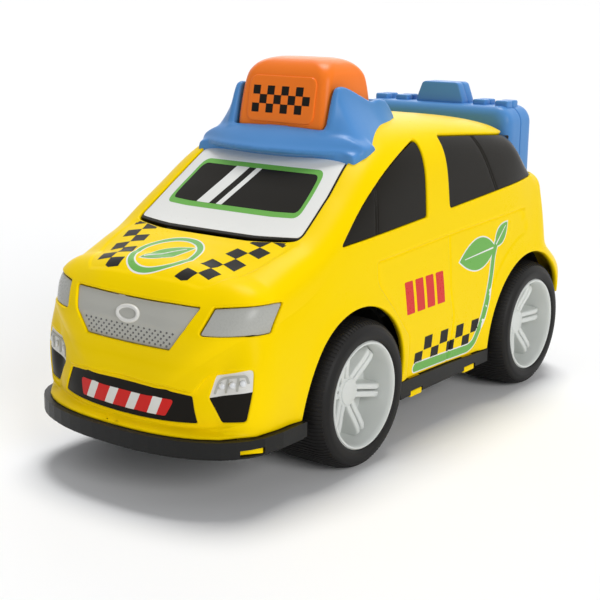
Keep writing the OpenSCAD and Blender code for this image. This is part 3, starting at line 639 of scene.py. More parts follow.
finishSet = {  # base and deep are screen values
    "yellowPlastic": dict(base=(255, 220, 0), deep=(253, 214, 0), gloss=(0.26, 0.34), specular=0.04),
    "bluePlastic": dict(base=(87, 146, 208), deep=(79, 138, 201), gloss=(0.28, 0.38)),
    "orangePlastic": dict(base=(255, 131, 38), deep=(250, 124, 34), gloss=(0.28, 0.37)),
    "darkGlass": dict(base=(34, 31, 26), deep=(28, 26, 22), gloss=(0.14, 0.22), specular=0.08),
    "greyTrim": dict(base=(185, 184, 176), deep=(175, 175, 168), gloss=(0.34, 0.44), grain=1800, bump=0.05),
    "lampGrey": dict(base=(180, 180, 174), deep=(170, 171, 166), gloss=(0.22, 0.32), specular=0.3),
    "silverTrim": dict(base=(227, 226, 220), deep=(214, 213, 209), gloss=(0.25, 0.36), specular=0.4),
    "rimPlastic": dict(base=(220, 223, 219), deep=(211, 214, 211), gloss=(0.28, 0.38), specular=0.25),
    "tyreRubber": dict(base=(30, 29, 28), deep=(24, 23, 23), gloss=(0.45, 0.6), grain=2600, bump=0.12),
    "chassisBlack": dict(base=(29, 29, 28), deep=(23, 23, 23), gloss=(0.36, 0.5), grain=2200, bump=0.1),
    "blackPrint": dict(base=(26, 23, 18), deep=(21, 19, 15), gloss=(0.3, 0.38), bump=0.01, specular=0.09),
    "greenPrint": dict(base=(112, 181, 80), deep=(103, 172, 74), gloss=(0.26, 0.34), bump=0.01),
    "redPrint": dict(base=(222, 42, 36), deep=(212, 36, 32), gloss=(0.26, 0.34), bump=0.01),
    "whitePrint": dict(base=(238, 238, 234), deep=(229, 230, 227), gloss=(0.26, 0.34), bump=0.01),
    "steelBright": dict(base=(206.41, 207.89, 210.8), deep=(187.52, 189.19, 192.47), gloss=(0.22, 0.4),
                        metal=1.0, grain=3000, bump=0.06),
    "cellJacket": dict(base=(58, 62, 70), deep=(46, 50, 58), gloss=(0.3, 0.4)),
    "boardGreen": dict(base=(30, 92, 58), deep=(24, 80, 50), gloss=(0.35, 0.5)),
    "slideGrey": dict(base=(176, 178, 180), deep=(164, 166, 168), gloss=(0.35, 0.45)),
    "dotGrey": dict(base=(112, 112, 110), deep=(100, 101, 100), gloss=(0.4, 0.5)),
    "clearLamp": dict(base=(226, 228, 230), deep=(212, 215, 218), gloss=(0.08, 0.16), coat=0.4, specular=0.5),
}
finish = {name: makeFinish(name, **spec) for name, spec in finishSet.items()}
print("finishes ready:", len(finish))


def addPiece(name, mesh, material, body, slot, *nodes):
    piece = linkObject(name, mesh)
    mesh.materials.clear()
    mesh.materials.append(finish[material])
    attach(piece, body)
    if nodes:
        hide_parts(*nodes)
    return piece


# Yellow body: openings, wheel arches, door joints
screenCorners = [(-38, 85.2), (-20, 84.6), (20, 84.6), (38, 85.2), (36.4, 98), (33.4, 112), (-33.4, 112),
                 (-36.4, 98)]
bodySet = {
    "bonnetStep": (0.4, 1.8), "doorStep": (0.4, 1.8),  # depth and width of the panels' soft edges
    "lipRoll": 0.6, "cell": 2.0, "jointWidth": 0.42, "jointDepth": 0.5, "flare": 0.7, "flareReach": 4.0,
    "sideX": (40, 46), "sideEnd": 118, "bonnetRoom": (-62, 62), "bandRoom": (-95, 52),
    "screen": rounded(screenCorners, 1.6),
    "frontWindow": rounded([*bezier((-60, 82.2), (-34, 107), (-1, 114.8), 14), (-3.6, 85.8)], 1.6),
    "rearWindow": [(84, 92), (13.2, 86.8), (14.3, 115), (40, 113.4), (66, 111.6)],
    "rear": dict(pocketX=38.8, pocketZ=76.3, wallTop=92.2, backX=46.5, backZ=92.9, sideY=84.6, sideZ=92.4,
                 roofSlope=0.0348, round=2.4),
    "grille": rounded([*bezier((-28.4, 67.7), (0, 66.2), (28.4, 67.7), 12), (24.8, 60.3),
                       *bezier((19.2, 53.9), (0, 53.4), (-19.2, 53.9), 12), (-24.8, 60.3)], 0.7),
    "lowerGrille": rounded([*bezier((-29.4, 39.2), (0, 41.6), (29.4, 39.2), 12),
                            *bezier((32.8, 29.5), (0, 28.2), (-32.8, 29.5), 12)], 1.0),
    "lamp": rounded([*bezier((-59.4, 68.1), (-48, 70.2), (-35.9, 68.9), 8), (-40.7, 59.8), (-64.9, 59.3)], 0.8),
    "fog": rounded([(-60.6, 46.6), (-47.4, 49.3), (-47.9, 41.7), (-49.7, 31.3), (-58, 30.2),
                    (-63.3, 39.2)], 1.5),
    "bumper": dict(depth=3.4, top=(48.5, 61.0), foot=(26.2, 27.8), side=(38.0, 49.0), step=(1.2, 0.9)),
    "brow": dict(side=(15.0, 34.0), low=(55.0, 63.0),
                 rise=[(-125, 1.7), (-108, 1.7), (-104, 1.4), (-100, 1.2), (-96, 1.5), (-92, 1.3), (-86, 0.5),
                       (-80, 0)]),
    "roofGap": [(-24, -34.9), (24, -34.9), (24, 3.9), (-24, 3.9)],
    "joints": {  # side view y, z
        "doorSplit": [(13.3, 76.6), (15.2, 54), (19.6, 42.4), (18.2, 24.1)],
        "waist": [(-38.2, 73.9), (13.9, 76.6), (74.2, 79.4)],
        "frontDoor": [(-38.2, 73.8), (-38.2, 66.2), (-17.9, 44.7), (-14.7, 41.9), (-13.3, 24.7)],
    },
    # distances of the mesh lines that follow joints, soft edges and the bumper's band, and the ledge's heights
    "besideJoint": (-1.3, -0.75, -0.35, 0, 0.35, 0.75, 1.3), "besideEdge": (-0.9, -0.3, 0.3, 0.9),
    "besideBand": (-0.45, 0, 0.45, 0.9), "ledge": (26.7, 27.2, 27.7),
}
jointLines = [softLine(points) for points in bodySet["joints"].values()]


def archSide(start, stop, outer, inner):  # edge of the door panel beside the rear arch
    q = np.linspace(0, 1, 24)
    a, r = np.radians(start + (stop - start) * q), outer + (inner - outer) * q
    return np.stack([axleY["rear"] + r * np.cos(a), axleZ + r * np.sin(a)], -1)


doorFront = [(-13.4, 15), (-13.4, 26.2), (-14.7, 41.9), (-17.9, 44.7), (-38.2, 66.2), (-38.2, 73.9),
             (13.9, 76.6), (72.8, 79.4), (78.4, 70.6), (76, 68.2)]
doorLoop = np.concatenate([softLine(doorFront, 2.5), archSide(100, 182, 41.4, 37.5), [(44.5, 15)]])
bonnetHalf = softLine([(0, -107), (26, -107), (29.4, -103.6), (35.5, -88.4), (38, -72)], 3)
bonnetLoop = np.concatenate([bonnetHalf, mirrored(bonnetHalf)[:-1]])

# Set-back band of the bumper, from fog lamp to fog lamp, seen from the front
bandHalf = softLine([(0, 41.9), (29.8, 40.4), (34.6, 45.9), (38.4, 48.3), (46.4, 49.8), (48.4, 46.5),
                     (48.2, 40), (46.4, 31), (40.8, 28.4), (33, 27.6), (0, 27)], 1.5)
bandLoop = np.concatenate([bandHalf, mirrored(bandHalf)[1:-1]])
bandAboveLedge = bandHalf[:-12]


def panelStep(points, loop, depth, width):  # depth inside a loop, eased over its edge
    gap = lineGap(points, np.concatenate([loop, loop[:1]]))
    inner = np.where(inside(points, loop), gap, -gap)
    return depth * ease(-width / 2, width / 2, inner)


def noseRelief(u, v):  # full above the grille, receding below it down to a ledge
    x, y, z = np.moveaxis(skinAt(u, v), -1, 0)
    x, low, brow = np.abs(x), bodySet["bumper"], bodySet["brow"]
    inward = low["depth"] * (1 - ease(*low["top"], z)) * ease(*low["foot"], z)
    inward = inward * (1 - ease(*low["side"], x)) * (y < skinSet["noseY"])
    return inward - curveAt(brow["rise"], y) * (1 - ease(*brow["side"], x)) * ease(*brow["low"], z)


def bodyRelief(u, v):
    s = bodySet
    p = skinAt(u, v).reshape(-1, 3)
    x, y, z = np.abs(p[:, 0]), p[:, 1], p[:, 2]
    depth = noseRelief(u, v).reshape(-1)
    bonnet = (y < s["bonnetRoom"][0]) & (z > s["bonnetRoom"][1])
    if bonnet.any():
        depth[bonnet] += panelStep(p[bonnet][:, 0:2], bonnetLoop, *s["bonnetStep"])
    low = (y < s["bandRoom"][0]) & (z < s["bandRoom"][1])
    if low.any():
        band = panelStep(p[low][:, [0, 2]], bandLoop, *s["bumper"]["step"])
        depth[low] += band * (1 - ease(*s["bumper"]["side"], x[low]))
    side = (x > s["sideX"][0]) & (np.abs(y) < s["sideEnd"])
    if side.any():
        flat = p[side][:, 1:3]
        gap = np.min([lineGap(flat, line) for line in jointLines], axis=0)
        cut = s["jointDepth"] * np.exp(-(gap / s["jointWidth"]) ** 2)
        for axle in axleY.values():
            r = np.linalg.norm(flat - [axle, axleZ], axis=1) - skinSet["archRadius"]
            cut = cut - s["flare"] * np.exp(-(np.maximum(r, 0) / s["flareReach"]) ** 2)
        cut = cut + panelStep(flat, doorLoop, *s["doorStep"])
        depth[side] += cut * ease(*s["sideX"], x[side])
    return depth.reshape(np.shape(u))


def closeLoop(half):  # a left half that starts and ends on the middle line, and its mirror image
    return np.concatenate([half[:-1], mirrored(half)[:-1]])


def lowerEdge(roll):
    s = skinSet
    low, rearLow = s["edgeZ"] + roll, s["rearEdgeZ"] + roll
    r = s["archRadius"] + roll
    t = np.concatenate([np.linspace(1, 0.1, 40)[:-1], 0.1 * np.linspace(1, 0.08, 40) ** 2])
    t = t[t > s["sideShare"] * roll / (s["shoulder"][0][1] - s["edgeZ"]) * 1.001]
    _, z = sectionAt(t, np.full(len(t), s["noseY"]))
    part = np.clip(roll / (z - s["edgeZ"]), 0, 1)
    nose = np.stack([1 - t, s["noseV"] * (1 - (1 - part) ** (1 / s["endPower"]))], -1)

    def run(y0, y1):
        y = np.arange(y0, y1, 1.5)
        v = s["noseV"] + (y - s["noseY"]) / (s["tailY"] - s["noseY"]) * (s["tailV"] - s["noseV"])
        return np.stack([1 - s["sideShare"] * roll / (curveAt(s["shoulder"], y) - edgeAt(y)), v], -1)

    def arch(y, zStart, zEnd):
        a = np.linspace(math.pi - math.asin((zStart - axleZ) / r), math.asin((zEnd - axleZ) / r), 80)
        return findOnSkin(np.stack([y + r * np.cos(a), axleZ + r * np.sin(a)], -1), sideView, onLeft)

    reach = r + 0.7
    front, rear = axleY["front"], axleY["rear"]
    sill = [float(edgeAt(y)) + roll for y in (front + r, rear - r)]
    rim = [nose, run(s["noseY"] + 0.5, front - reach), arch(front, low, sill[0]),
           run(front + reach, rear - reach), arch(rear, sill[1], rearLow)]
    end = skinAt(*rim[-1][-1])
    rim.append(levelLine(np.linspace(end[0] - 0.8, 0, 45), rearLow, frontView, onTailFoot))
    return closeLoop(np.concatenate(rim))


# Rear opening: side glass, roof end and case pocket in one loop
roofSlope = bodySet["rear"]["roofSlope"]
roofEndLevel = bodySet["rearWindow"][-1][1] + roofSlope * bodySet["rearWindow"][-1][0]
roofEndView = np.array([(1, 0), (0, roofSlope), (0, 1)])


def rearFrame(grow, pocketX, roofX, count):  # round the tail's corner, along the side, in over the roof
    s = bodySet["rear"]
    back = levelLine(np.linspace(pocketX + 0.8, s["backX"], 9), s["backZ"] - grow, frontView, onTail)
    y = np.arange(skinAt(*back[-1])[1] - 1.2, s["sideY"], -1.2)
    corner = levelLine(y, s["sideZ"] - grow, sideView, onLeft)
    side = findOnSkin(besideLine(softLine(bodySet["rearWindow"], s["round"]), grow), sideView, onLeft)
    x = np.linspace(skinAt(*side[-1])[0] - 0.8, roofX, count)
    return np.concatenate([back, corner, side, levelLine(x, roofEndLevel + grow, roofEndView, onRoofEnd)])


def rearOpening(grow):
    s = bodySet["rear"]
    x, z = s["pocketX"] + grow, s["pocketZ"] - grow
    floor = levelLine(np.linspace(0, x, 24), z, frontView, onTail)
    wall = levelLine(x, np.linspace(z + 1, s["wallTop"] - grow, 12), frontView, onTail)
    return closeLoop(np.concatenate([floor, wall, rearFrame(grow, x, 0, 40)]))


def loopOnSkin(outline, grow, view, where, step=1.2):
    return findOnSkin(dense(grown(outline, grow), step), view, where)


def bodyHoles(grow):
    s = bodySet
    holes = [loopOnSkin(s["screen"], grow, frontView, onScreen),
             loopOnSkin(s["roofGap"], grow, topView, onTop, 2.5)]
    holes += [loopOnSkin(s[key], grow, frontView, onNose) for key in ("grille", "lowerGrille")]
    for key, view, where in (("frontWindow", sideView, onLeft), ("lamp", cornerView, onNoseLeft),
                             ("fog", cornerView, onNoseLeft)):
        loop = loopOnSkin(s[key], grow, view, where)
        holes += [loop, mirrored(loop)]
    return holes


def outsideRuns(line, loops):  # stretches of a line that keep clear of the openings
    keep = np.ones(len(line), bool)
    for loop in loops:
        keep &= ~inside(line * flatScale, loop * flatScale)
    breaks = np.flatnonzero(np.diff(keep.astype(int))) + 1
    runs = zip(np.split(line, breaks), np.split(keep, breaks))
    return [run for run, clear in runs if clear[0] and len(run) > 1]


def bumperLines():
    holes, lines = bodyHoles(0.75), []
    for d in bodySet["besideBand"]:
        path = dense(besideLine(bandAboveLedge, d), 1.0, False)
        for run in outsideRuns(findOnSkin(path, frontView, onNose), holes):
            lines += bothLines(run)
    for z in bodySet["ledge"]:  # under the lower grille, right across
        lines.append(findOnSkin(dense([(-40, z), (40, z)], 1.5, False), frontView, onNose))
    return lines


def makeBody(s):
    bend = np.linspace(-0.62, 0.62, 90)
    lines = [*bumperLines(), np.stack([bend, np.full(len(bend), skinSet["noseV"])], -1)]
    for line in jointLines:
        for d in s["besideJoint"]:
            lines += bothLines(findOnSkin(besideLine(line, d), sideView, onLeft))
    for d in s["besideEdge"]:
        lines += bothLines(findOnSkin(besideLine(bonnetHalf[1:-4], d), topView, onBonnet))
        lines += bothLines(findOnSkin(besideLine(archSide(100, 170, 41.4, 38), d), sideView, onLeft))
    roll = s["lipRoll"]
    holes = [*bodyHoles(roll), rearOpening(roll)]
    sheet = skinSheet(lowerEdge(roll), holes, lines, 0, skinSet["wall"], bodyRelief, roll, s["cell"])
    return sheetMesh("carBody", [sheet])


bodyMesh = makeBody(bodySet)
addPiece("carBody", bodyMesh, "yellowPlastic", "car", "yellow_shell", "body_shell")
print("body ready:", len(bodyMesh.polygons), "faces")

# Small clips of the body that show in the black sill
tabSet = {
    "places": [  # x, y, turn, foot, top, top of the hook
        (44.4, -105.2, 55, 19.9, 24.6, 22.1), (46.6, -6.5, 90, 15.9, 23.2, 18.3),
        (46.6, 35.5, 90, 15.9, 22.2, 18.3)],
    "half": (4.2, 1.3), "hook": 2.3, "round": 0.4,
}


def makeTabs(spec):
    parts = []
    hx, hy = spec["half"]
    for x, y, turn, foot, top, hook in spec["places"]:
        boxes = [((-hx, -hy, foot), (hx, hy, top)), ((-hx, -spec["hook"], foot), (hx, 0, hook))]
        for mirror in (Matrix.Identity(4), flipX):
            parts += [turned(roundedBox(*box, spec["round"]), mirror @ shifted(x, y, 0, turn)) for box in boxes]
    return meshOf("bodyTabs", parts)


addPiece("bodyTabs", makeTabs(tabSet), "yellowPlastic", "car", "yellow_shell")

# Dark panes, set a little below the yellow shell
glassSet = {
    "gap": 0.15, "roll": 0.3, "depth": 0.7, "thick": 1.5, "cell": 2.2, "screenTop": 110.2,
    "seamDepth": 0.3, "seamWidth": 0.26, "seamX": 30, "besideSeam": (-0.7, -0.25, 0, 0.25, 0.7),
    "frontSeams": [[(-36.3, 101.6), (-38.8, 83.3)], [(-35.0, 102.6), (-37.4, 83.4)]],
    "rearSeams": [[(40.6, 113.3), (51.4, 89.5)], [(42.0, 113.2), (52.8, 89.7)]],
    "pocketX": 39.2, "pocketLow": 93.8, "bulkhead": ((-40, 76.6, 78.0), (40, 78.6, 109.6)),
}
seamLines = {key: [dense(line, 1.6, False) for line in glassSet[key]] for key in ("frontSeams", "rearSeams")}


def glassRelief(u, v):
    p = skinAt(u, v).reshape(-1, 3)
    gap = np.min([lineGap(p[:, 1:3], line) for lines in seamLines.values() for line in lines], axis=0)
    cut = glassSet["seamDepth"] * np.exp(-(gap / glassSet["seamWidth"]) ** 2)
    return (cut * (np.abs(p[:, 0]) > glassSet["seamX"])).reshape(np.shape(u))


def rearPane(grow):
    x = glassSet["pocketX"] - grow
    loop = rearFrame(grow, x, x + 0.4, 14)
    drop = np.linspace(skinAt(*loop[-1])[2] - 0.8, glassSet["pocketLow"] - grow, 16)
    return np.concatenate([loop, levelLine(x, drop, frontView, onPocket)])


def makeGlass(spec):
    shrink = -spec["gap"] - spec["roll"]
    screen = halfPlane(bodySet["screen"], (0, spec["screenTop"]), 0.0, False)  # ends under the cap's peak
    panes = [(loopOnSkin(screen, shrink, frontView, onScreen), [])]
    for loop, key in ((loopOnSkin(bodySet["frontWindow"], shrink, sideView, onLeft), "frontSeams"),
                      (rearPane(shrink), "rearSeams")):
        lines = [findOnSkin(besideLine(line, d), sideView, onLeft)
                 for line in seamLines[key] for d in spec["besideSeam"]]
        panes += [(loop, lines), (mirrored(loop), [line * [-1, 1] for line in lines])]
    sheets = [skinSheet(loop, (), lines, spec["depth"], spec["thick"], glassRelief, spec["roll"], spec["cell"])
              for loop, lines in panes]
    return sheetMesh("darkPanes", sheets)


addPiece("darkPanes", makeGlass(glassSet), "darkGlass", "car", "dark_window", "window_insert")
bulkhead = meshOf("rearBulkhead", [roundedBox(*glassSet["bulkhead"], 0.6)])
addPiece("rearBulkhead", bulkhead, "darkGlass", "car", "dark_window")
print("panes ready")

# Grille, lamps and the two recesses of the bumper
noseSet = {
    "gap": 0.12, "grille": dict(depth=0.8, thick=2.2, roll=0.35), "lamp": dict(depth=0.7, thick=2.2, roll=0.4),
    "grilleStep": (0.35, (59.1, 59.7)), "recess": dict(depth=0.5, thick=0.85, roll=0.05),
    "fogReach": 1.2, "fogSplit": ((-63.3, 39.2), 0.163),
}


def nosePlate(outline, spec, view, where, cell=1.8, relief=noseRelief):
    loop = loopOnSkin(outline, -noseSet["gap"] - spec["roll"], view, where)
    return skinSheet(loop, (), (), spec["depth"], spec["thick"], relief, spec["roll"], cell)


def grilleRelief(u, v):  # lower third set back behind a small step
    depth, heights = noseSet["grilleStep"]
    return noseRelief(u, v) + depth * (1 - ease(*heights, skinAt(u, v)[..., 2]))


def recessFloor(outline, view, where, reach, cell):
    spec = noseSet["recess"]
    loop = loopOnSkin(outline, reach, view, where)
    return skinSheet(loop, (), (), spec["depth"], spec["thick"], bodyRelief, spec["roll"], cell, 1)


grille = nosePlate(bodySet["grille"], noseSet["grille"], frontView, onNose, 1.2, grilleRelief)
addPiece("grillePlate", sheetMesh("grillePlate", [grille]), "greyTrim", "car", "grey_trim", "grille_panel")
lamp = nosePlate(bodySet["lamp"], noseSet["lamp"], cornerView, onNoseLeft)
for side, sheet in zip(("Left", "Right"), bothSheets(lamp)):
    mesh = sheetMesh("headlamp" + side, [sheet])
    addPiece("headlamp" + side, mesh, "lampGrey", "car", "grey_trim", "headlamp_" + side.lower())
lower = recessFloor(bodySet["lowerGrille"], frontView, onNose, 0.5, 2.0)
addPiece("lowerGrille", sheetMesh("lowerGrille", [lower]), "blackPrint", "car", "black_chassis")
fogOutline = grown(bodySet["fog"], noseSet["fogReach"])
for name, above, look, slot in (("fogFloor", False, "blackPrint", "black_chassis"),
                                ("fogCluster", True, "silverTrim", "grey_trim")):
    half = halfPlane(fogOutline, *noseSet["fogSplit"], above)
    sheet = recessFloor(half, cornerView, onNoseLeft, 0.0, 1.2)
    addPiece(name, sheetMesh(name, bothSheets(sheet)), look, "car", slot)
print("nose ready")

# Geometry Nodes that repeat a small part: round the axle, or on seated points
def newTree(name, sockets):
    tree = bpy.data.node_groups.new(name, "GeometryNodeTree")
    names = {key: addSocket(tree, key, "INPUT", kind, *value) for key, kind, *value in sockets}
    addSocket(tree, "Geometry", "OUTPUT", "Geometry")
    return tree, names, addNode(tree, "NodeGroupInput").outputs


def placeParts(tree, given, seats):
    part = addNode(tree, "GeometryNodeObjectInfo", {"Object": given["Part"]}).outputs["Geometry"]
    placed = addNode(tree, "GeometryNodeInstanceOnPoints", {**seats, "Instance": part}).outputs[0]
    real = addNode(tree, "GeometryNodeRealizeInstances", {0: placed}).outputs[0]
    painted = addNode(tree, "GeometryNodeSetMaterial", {"Geometry": real, "Material": given["Finish"]})
    addNode(tree, "NodeGroupOutput", {"Geometry": painted.outputs[0]})


def makeRingTree():
    sockets = [("Part", "Object"), ("Count", "Int", 6), ("Turn", "Float", 0.0), ("Centre", "Vector"),
               ("Finish", "Material")]
    tree, names, given = newTree("ringOfParts", sockets)
    points = addNode(tree, "GeometryNodePoints", {"Count": given["Count"], "Position": given["Centre"]})
    index = addNode(tree, "GeometryNodeInputIndex").outputs[0]
    step = addNode(tree, "ShaderNodeMath", {0: 2 * math.pi, 1: given["Count"]}, operation="DIVIDE").outputs[0]
    angle = addNode(tree, "ShaderNodeMath", {0: index, 1: step, 2: given["Turn"]}, operation="MULTIPLY_ADD")
    turn = addNode(tree, "ShaderNodeCombineXYZ", {"X": angle.outputs[0]})
    placeParts(tree, given, {"Points": points.outputs[0], "Rotation": turn.outputs[0]})
    return tree, names


def makeSeatTree():
    sockets = [("Geometry", "Geometry"), ("Part", "Object"), ("Size", "Float", 1.0), ("Finish", "Material")]
    tree, names, given = newTree("partsOnPoints", sockets)
    way = addNode(tree, "GeometryNodeInputNamedAttribute", {"Name": "facing"}, data_type="FLOAT_VECTOR")
    facing = {"Vector": way.outputs["Attribute"]}
    turn = addNode(tree, "FunctionNodeAlignRotationToVector", facing, axis="Z").outputs[0]
    placeParts(tree, given, {"Points": given["Geometry"], "Rotation": turn, "Scale": given["Size"]})
    return tree, names


ringTree, seatTree = makeRingTree(), makeSeatTree()


def evaluated(piece):
    graph = bpy.context.evaluated_depsgraph_get()
    final = piece.evaluated_get(graph)
    return bpy.data.meshes.new_from_object(final, preserve_all_data_layers=True, depsgraph=graph)


def runTree(name, treeAndNames, carrier, part, look, values):  # the result as a plain mesh
    tree, names = treeAndNames
    holder = linkObject(name + "Holder", carrier)
    modifier = holder.modifiers.new("repeat", "NODES")
    modifier.node_group = tree
    for key, value in {"Part": part, "Finish": finish[look], **values}.items():
        modifier[names[key]] = value
    mesh = evaluated(holder)
    bpy.data.objects.remove(holder)
    mesh.name = name
    mesh.polygons.foreach_set("use_smooth", [True] * len(mesh.polygons))
    return mesh


def sampleObject(mesh):  # a part to repeat, never seen by itself
    return bpy.data.objects.new(mesh.name, mesh)


def seatedOn(uv, depth, relief):  # points below the skin, and where it faces there
    normal = outwardAt(*uv.T)
    return skinAt(*uv.T) - (depth + relief(*uv.T))[:, None] * normal, normal


def seatPoints(places, facing):
    mesh = bpy.data.meshes.new("seats")
    mesh.from_pydata((np.asarray(places) * mm).tolist(), [], [])
    field = mesh.attributes.new("facing", "FLOAT_VECTOR", "POINT")
    field.data.foreach_set("vector", np.asarray(facing, float).ravel())
    return mesh


def domeMesh(name, radius, height, rings=2, sides=8):
    points, faces = [], [tuple(range(sides - 1, -1, -1))]
    for k in range(rings):
        a = math.pi / 2 * k / rings
        r, z = radius * math.cos(a), height * math.sin(a)
        low, high = k * sides, (k + 1) * sides
        for i in range(sides):
            b, j = 2 * math.pi * i / sides, (i + 1) % sides
            points.append((r * math.cos(b), r * math.sin(b), z))
            last = k == rings - 1
            faces.append((low + i, low + j, high) if last else (low + i, low + j, high + j, high + i))
    return meshFrom(name, [*points, (0, 0, height)], faces)


# Dots of the grille, staggered in rows
dotSet = {
    "rows": 5, "pitch": 2.5, "low": 54.9, "high": 58.6, "radius": 0.48, "height": 0.24, "sink": 0.03,
    "side": ((53.9, 60.3), (18.2, 24.0)), "margin": 0.9,  # heights and half widths of the panel
}


def makeDots(spec):
    places = []
    for k, z in enumerate(np.linspace(spec["low"], spec["high"], spec["rows"])):
        x = np.arange(-30, 30, spec["pitch"]) + (spec["pitch"] / 2 if k % 2 else 0)
        places += [(a, z) for a in x if abs(a) < np.interp(z, *spec["side"]) - spec["margin"]]
    uv = findOnSkin(places, frontView, onNose)
    seats = seatPoints(*seatedOn(uv, noseSet["grille"]["depth"] + spec["sink"], grilleRelief))
    dot = sampleObject(domeMesh("dotPart", spec["radius"], spec["height"]))
    return runTree("grilleDots", seatTree, seats, dot, "dotGrey", {"Size": 1.0})


addPiece("grilleDots", makeDots(dotSet), "dotGrey", "car", "grey_trim")

# Badge: a bare ring on a small disc
badgeSet = {
    "z": 61.8, "width": 9.2, "height": 4.4, "ring": 0.75, "ringUp": 0.15, "discUp": 0.3, "discThick": 1.0,
}


def beadAlong(path, normals, radius, sides=10):  # round bead along a closed line on a surface
    across = unit(np.cross(unit(np.roll(path, -1, 0) - np.roll(path, 1, 0)), normals))
    turns = 2 * math.pi * np.arange(sides) / sides
    rings = [path + radius * (math.cos(a) * across + math.sin(a) * normals) for a in turns]
    n, faces = len(path), []
    for i in range(n):
        low, high = i * sides, (i + 1) % n * sides
        faces += [(low + k, low + (k + 1) % sides, high + (k + 1) % sides, high + k) for k in range(sides)]
    return solidFrom(np.stack(rings, 1).reshape(-1, 3), faces)


def makeBadge(spec):
    oval = ellipse((0, spec["z"]), (spec["width"] / 2, spec["height"] / 2))
    uv, depth = findOnSkin(oval, frontView, onNose), noseSet["grille"]["depth"]
    bead = beadAlong(*seatedOn(uv, depth - spec["ringUp"], noseRelief), spec["ring"])
    disc = skinSheet(uv, (), (), depth - spec["discUp"], spec["discThick"], noseRelief, 0.05, 1.4, 1)
    return meshOf("badgeRing", [bead]), sheetMesh("badgeDisc", [disc])


badgeRing, badgeDisc = makeBadge(badgeSet)
addPiece("badgeRing", badgeRing, "silverTrim", "car", "grey_trim")
addPiece("badgeDisc", badgeDisc, "greyTrim", "car", "grey_trim")

# Three small lamps in each bumper cluster
clusterSet = {
    "places": [(-58.8, 42.9), (-54.7, 43.6), (-51.0, 44.5)], "radius": 1.25, "height": 0.9, "sink": 0.1,
}


def makeCluster(spec):
    uv = findOnSkin(spec["places"], cornerView, onNoseLeft)
    seats = [np.concatenate([a, a * [-1, 1, 1]])
             for a in seatedOn(uv, noseSet["recess"]["depth"] + spec["sink"], bodyRelief)]
    part = sampleObject(domeMesh("clusterPart", spec["radius"], spec["height"], 4, 20))
    return runTree("fogLamps", seatTree, seatPoints(*seats), part, "clearLamp", {"Size": 1.0})


addPiece("fogLamps", makeCluster(clusterSet), "clearLamp", "car", "lamp_clear")
print("grille dots, badge and fog lamps ready")

# Roof cap: peak, wings and back, melted together and softened
capSet = {
    "wingCrest": [(-36, 114), (-33.4, 118), (-31, 126), (-28.4, 133), (-25.6, 134.4), (-20, 133.2),
                  (-12, 130.2), (-5, 128), (1, 128.5), (6, 126.6), (11, 121)],
    "wingFoot": [(-36, 36.5), (-27, 38.6), (-10, 38), (0, 35), (6, 32), (11, 27)], "wingFootZ": 111,
    "inner": 20.5, "ridge": 24.3, "low": 104, "wingEnds": (-36, 11, 48), "peakHalf": 38.4, "backHalf": 24,
    "tub": ((-23.5, -34.4, 104.5), (23.5, 3.4, 118.6)), "room": ((-21.7, -32.6, 106.5), (21.7, 1.6, 150)),
    "firstVoxel": 0.8, "voxel": 0.55, "softening": 7,
}


def wingRing(y):
    s = capSet
    c, f = float(curveAt(s["wingCrest"], y)), float(curveAt(s["wingFoot"], y))
    inner, ridge, low = s["inner"], s["ridge"], s["low"]
    q = np.linspace(0.04, 1, 14)
    flare = np.stack([ridge + (f - ridge) * q**1.7, c - 0.5 + (s["wingFootZ"] - c + 0.5) * q], -1)
    ring = [(inner, low), (inner, c - 0.6), (inner + 2.2, c), (ridge, c), *flare, (f + 0.6, 108),
            (f + 0.4, low)]
    return [(x, y, z) for x, z in ring]


def peakRing(x):
    q = abs(x) / capSet["peakHalf"]
    tip, top, back, low = -44 + 12.5 * q**2.3, 119.4 - 6.4 * q**4, -24, capSet["low"]
    bend = (tip + (-31.4 - tip) * 0.5, 112.8 + (top - 112.8) * 0.8)
    crown = bezier((-33.4 + 2 * q, top), bend, (tip + 1.2, 112.6), 8)
    ring = [(back, low), (back, top + 0.4), *crown, (tip, 111.9), (tip - 0.2, 110.9), (tip + 0.8, 110.1),
            (tip + 3.4, 109.6), (back - 2, low)]
    return [(x, y, z) for y, z in ring]


def backRing(x):
    q = abs(x) / capSet["backHalf"]
    ring = [(11 - 2 * q, 112), (11 - 2 * q, 121), (7.5 - q, 125.4), (4.6, 127.8), (2.6, 128.2), (0.4, 127.4),
            (0.4, 112)]
    return [(x, y, z) for y, z in ring]


def useModifier(piece, kind, **values):
    modifier = piece.modifiers.new(kind, kind)
    for key, value in values.items():
        setattr(modifier, key, value)
    mesh = evaluated(piece)
    piece.modifiers.clear()
    old, piece.data = piece.data, mesh
    bpy.data.meshes.remove(old)


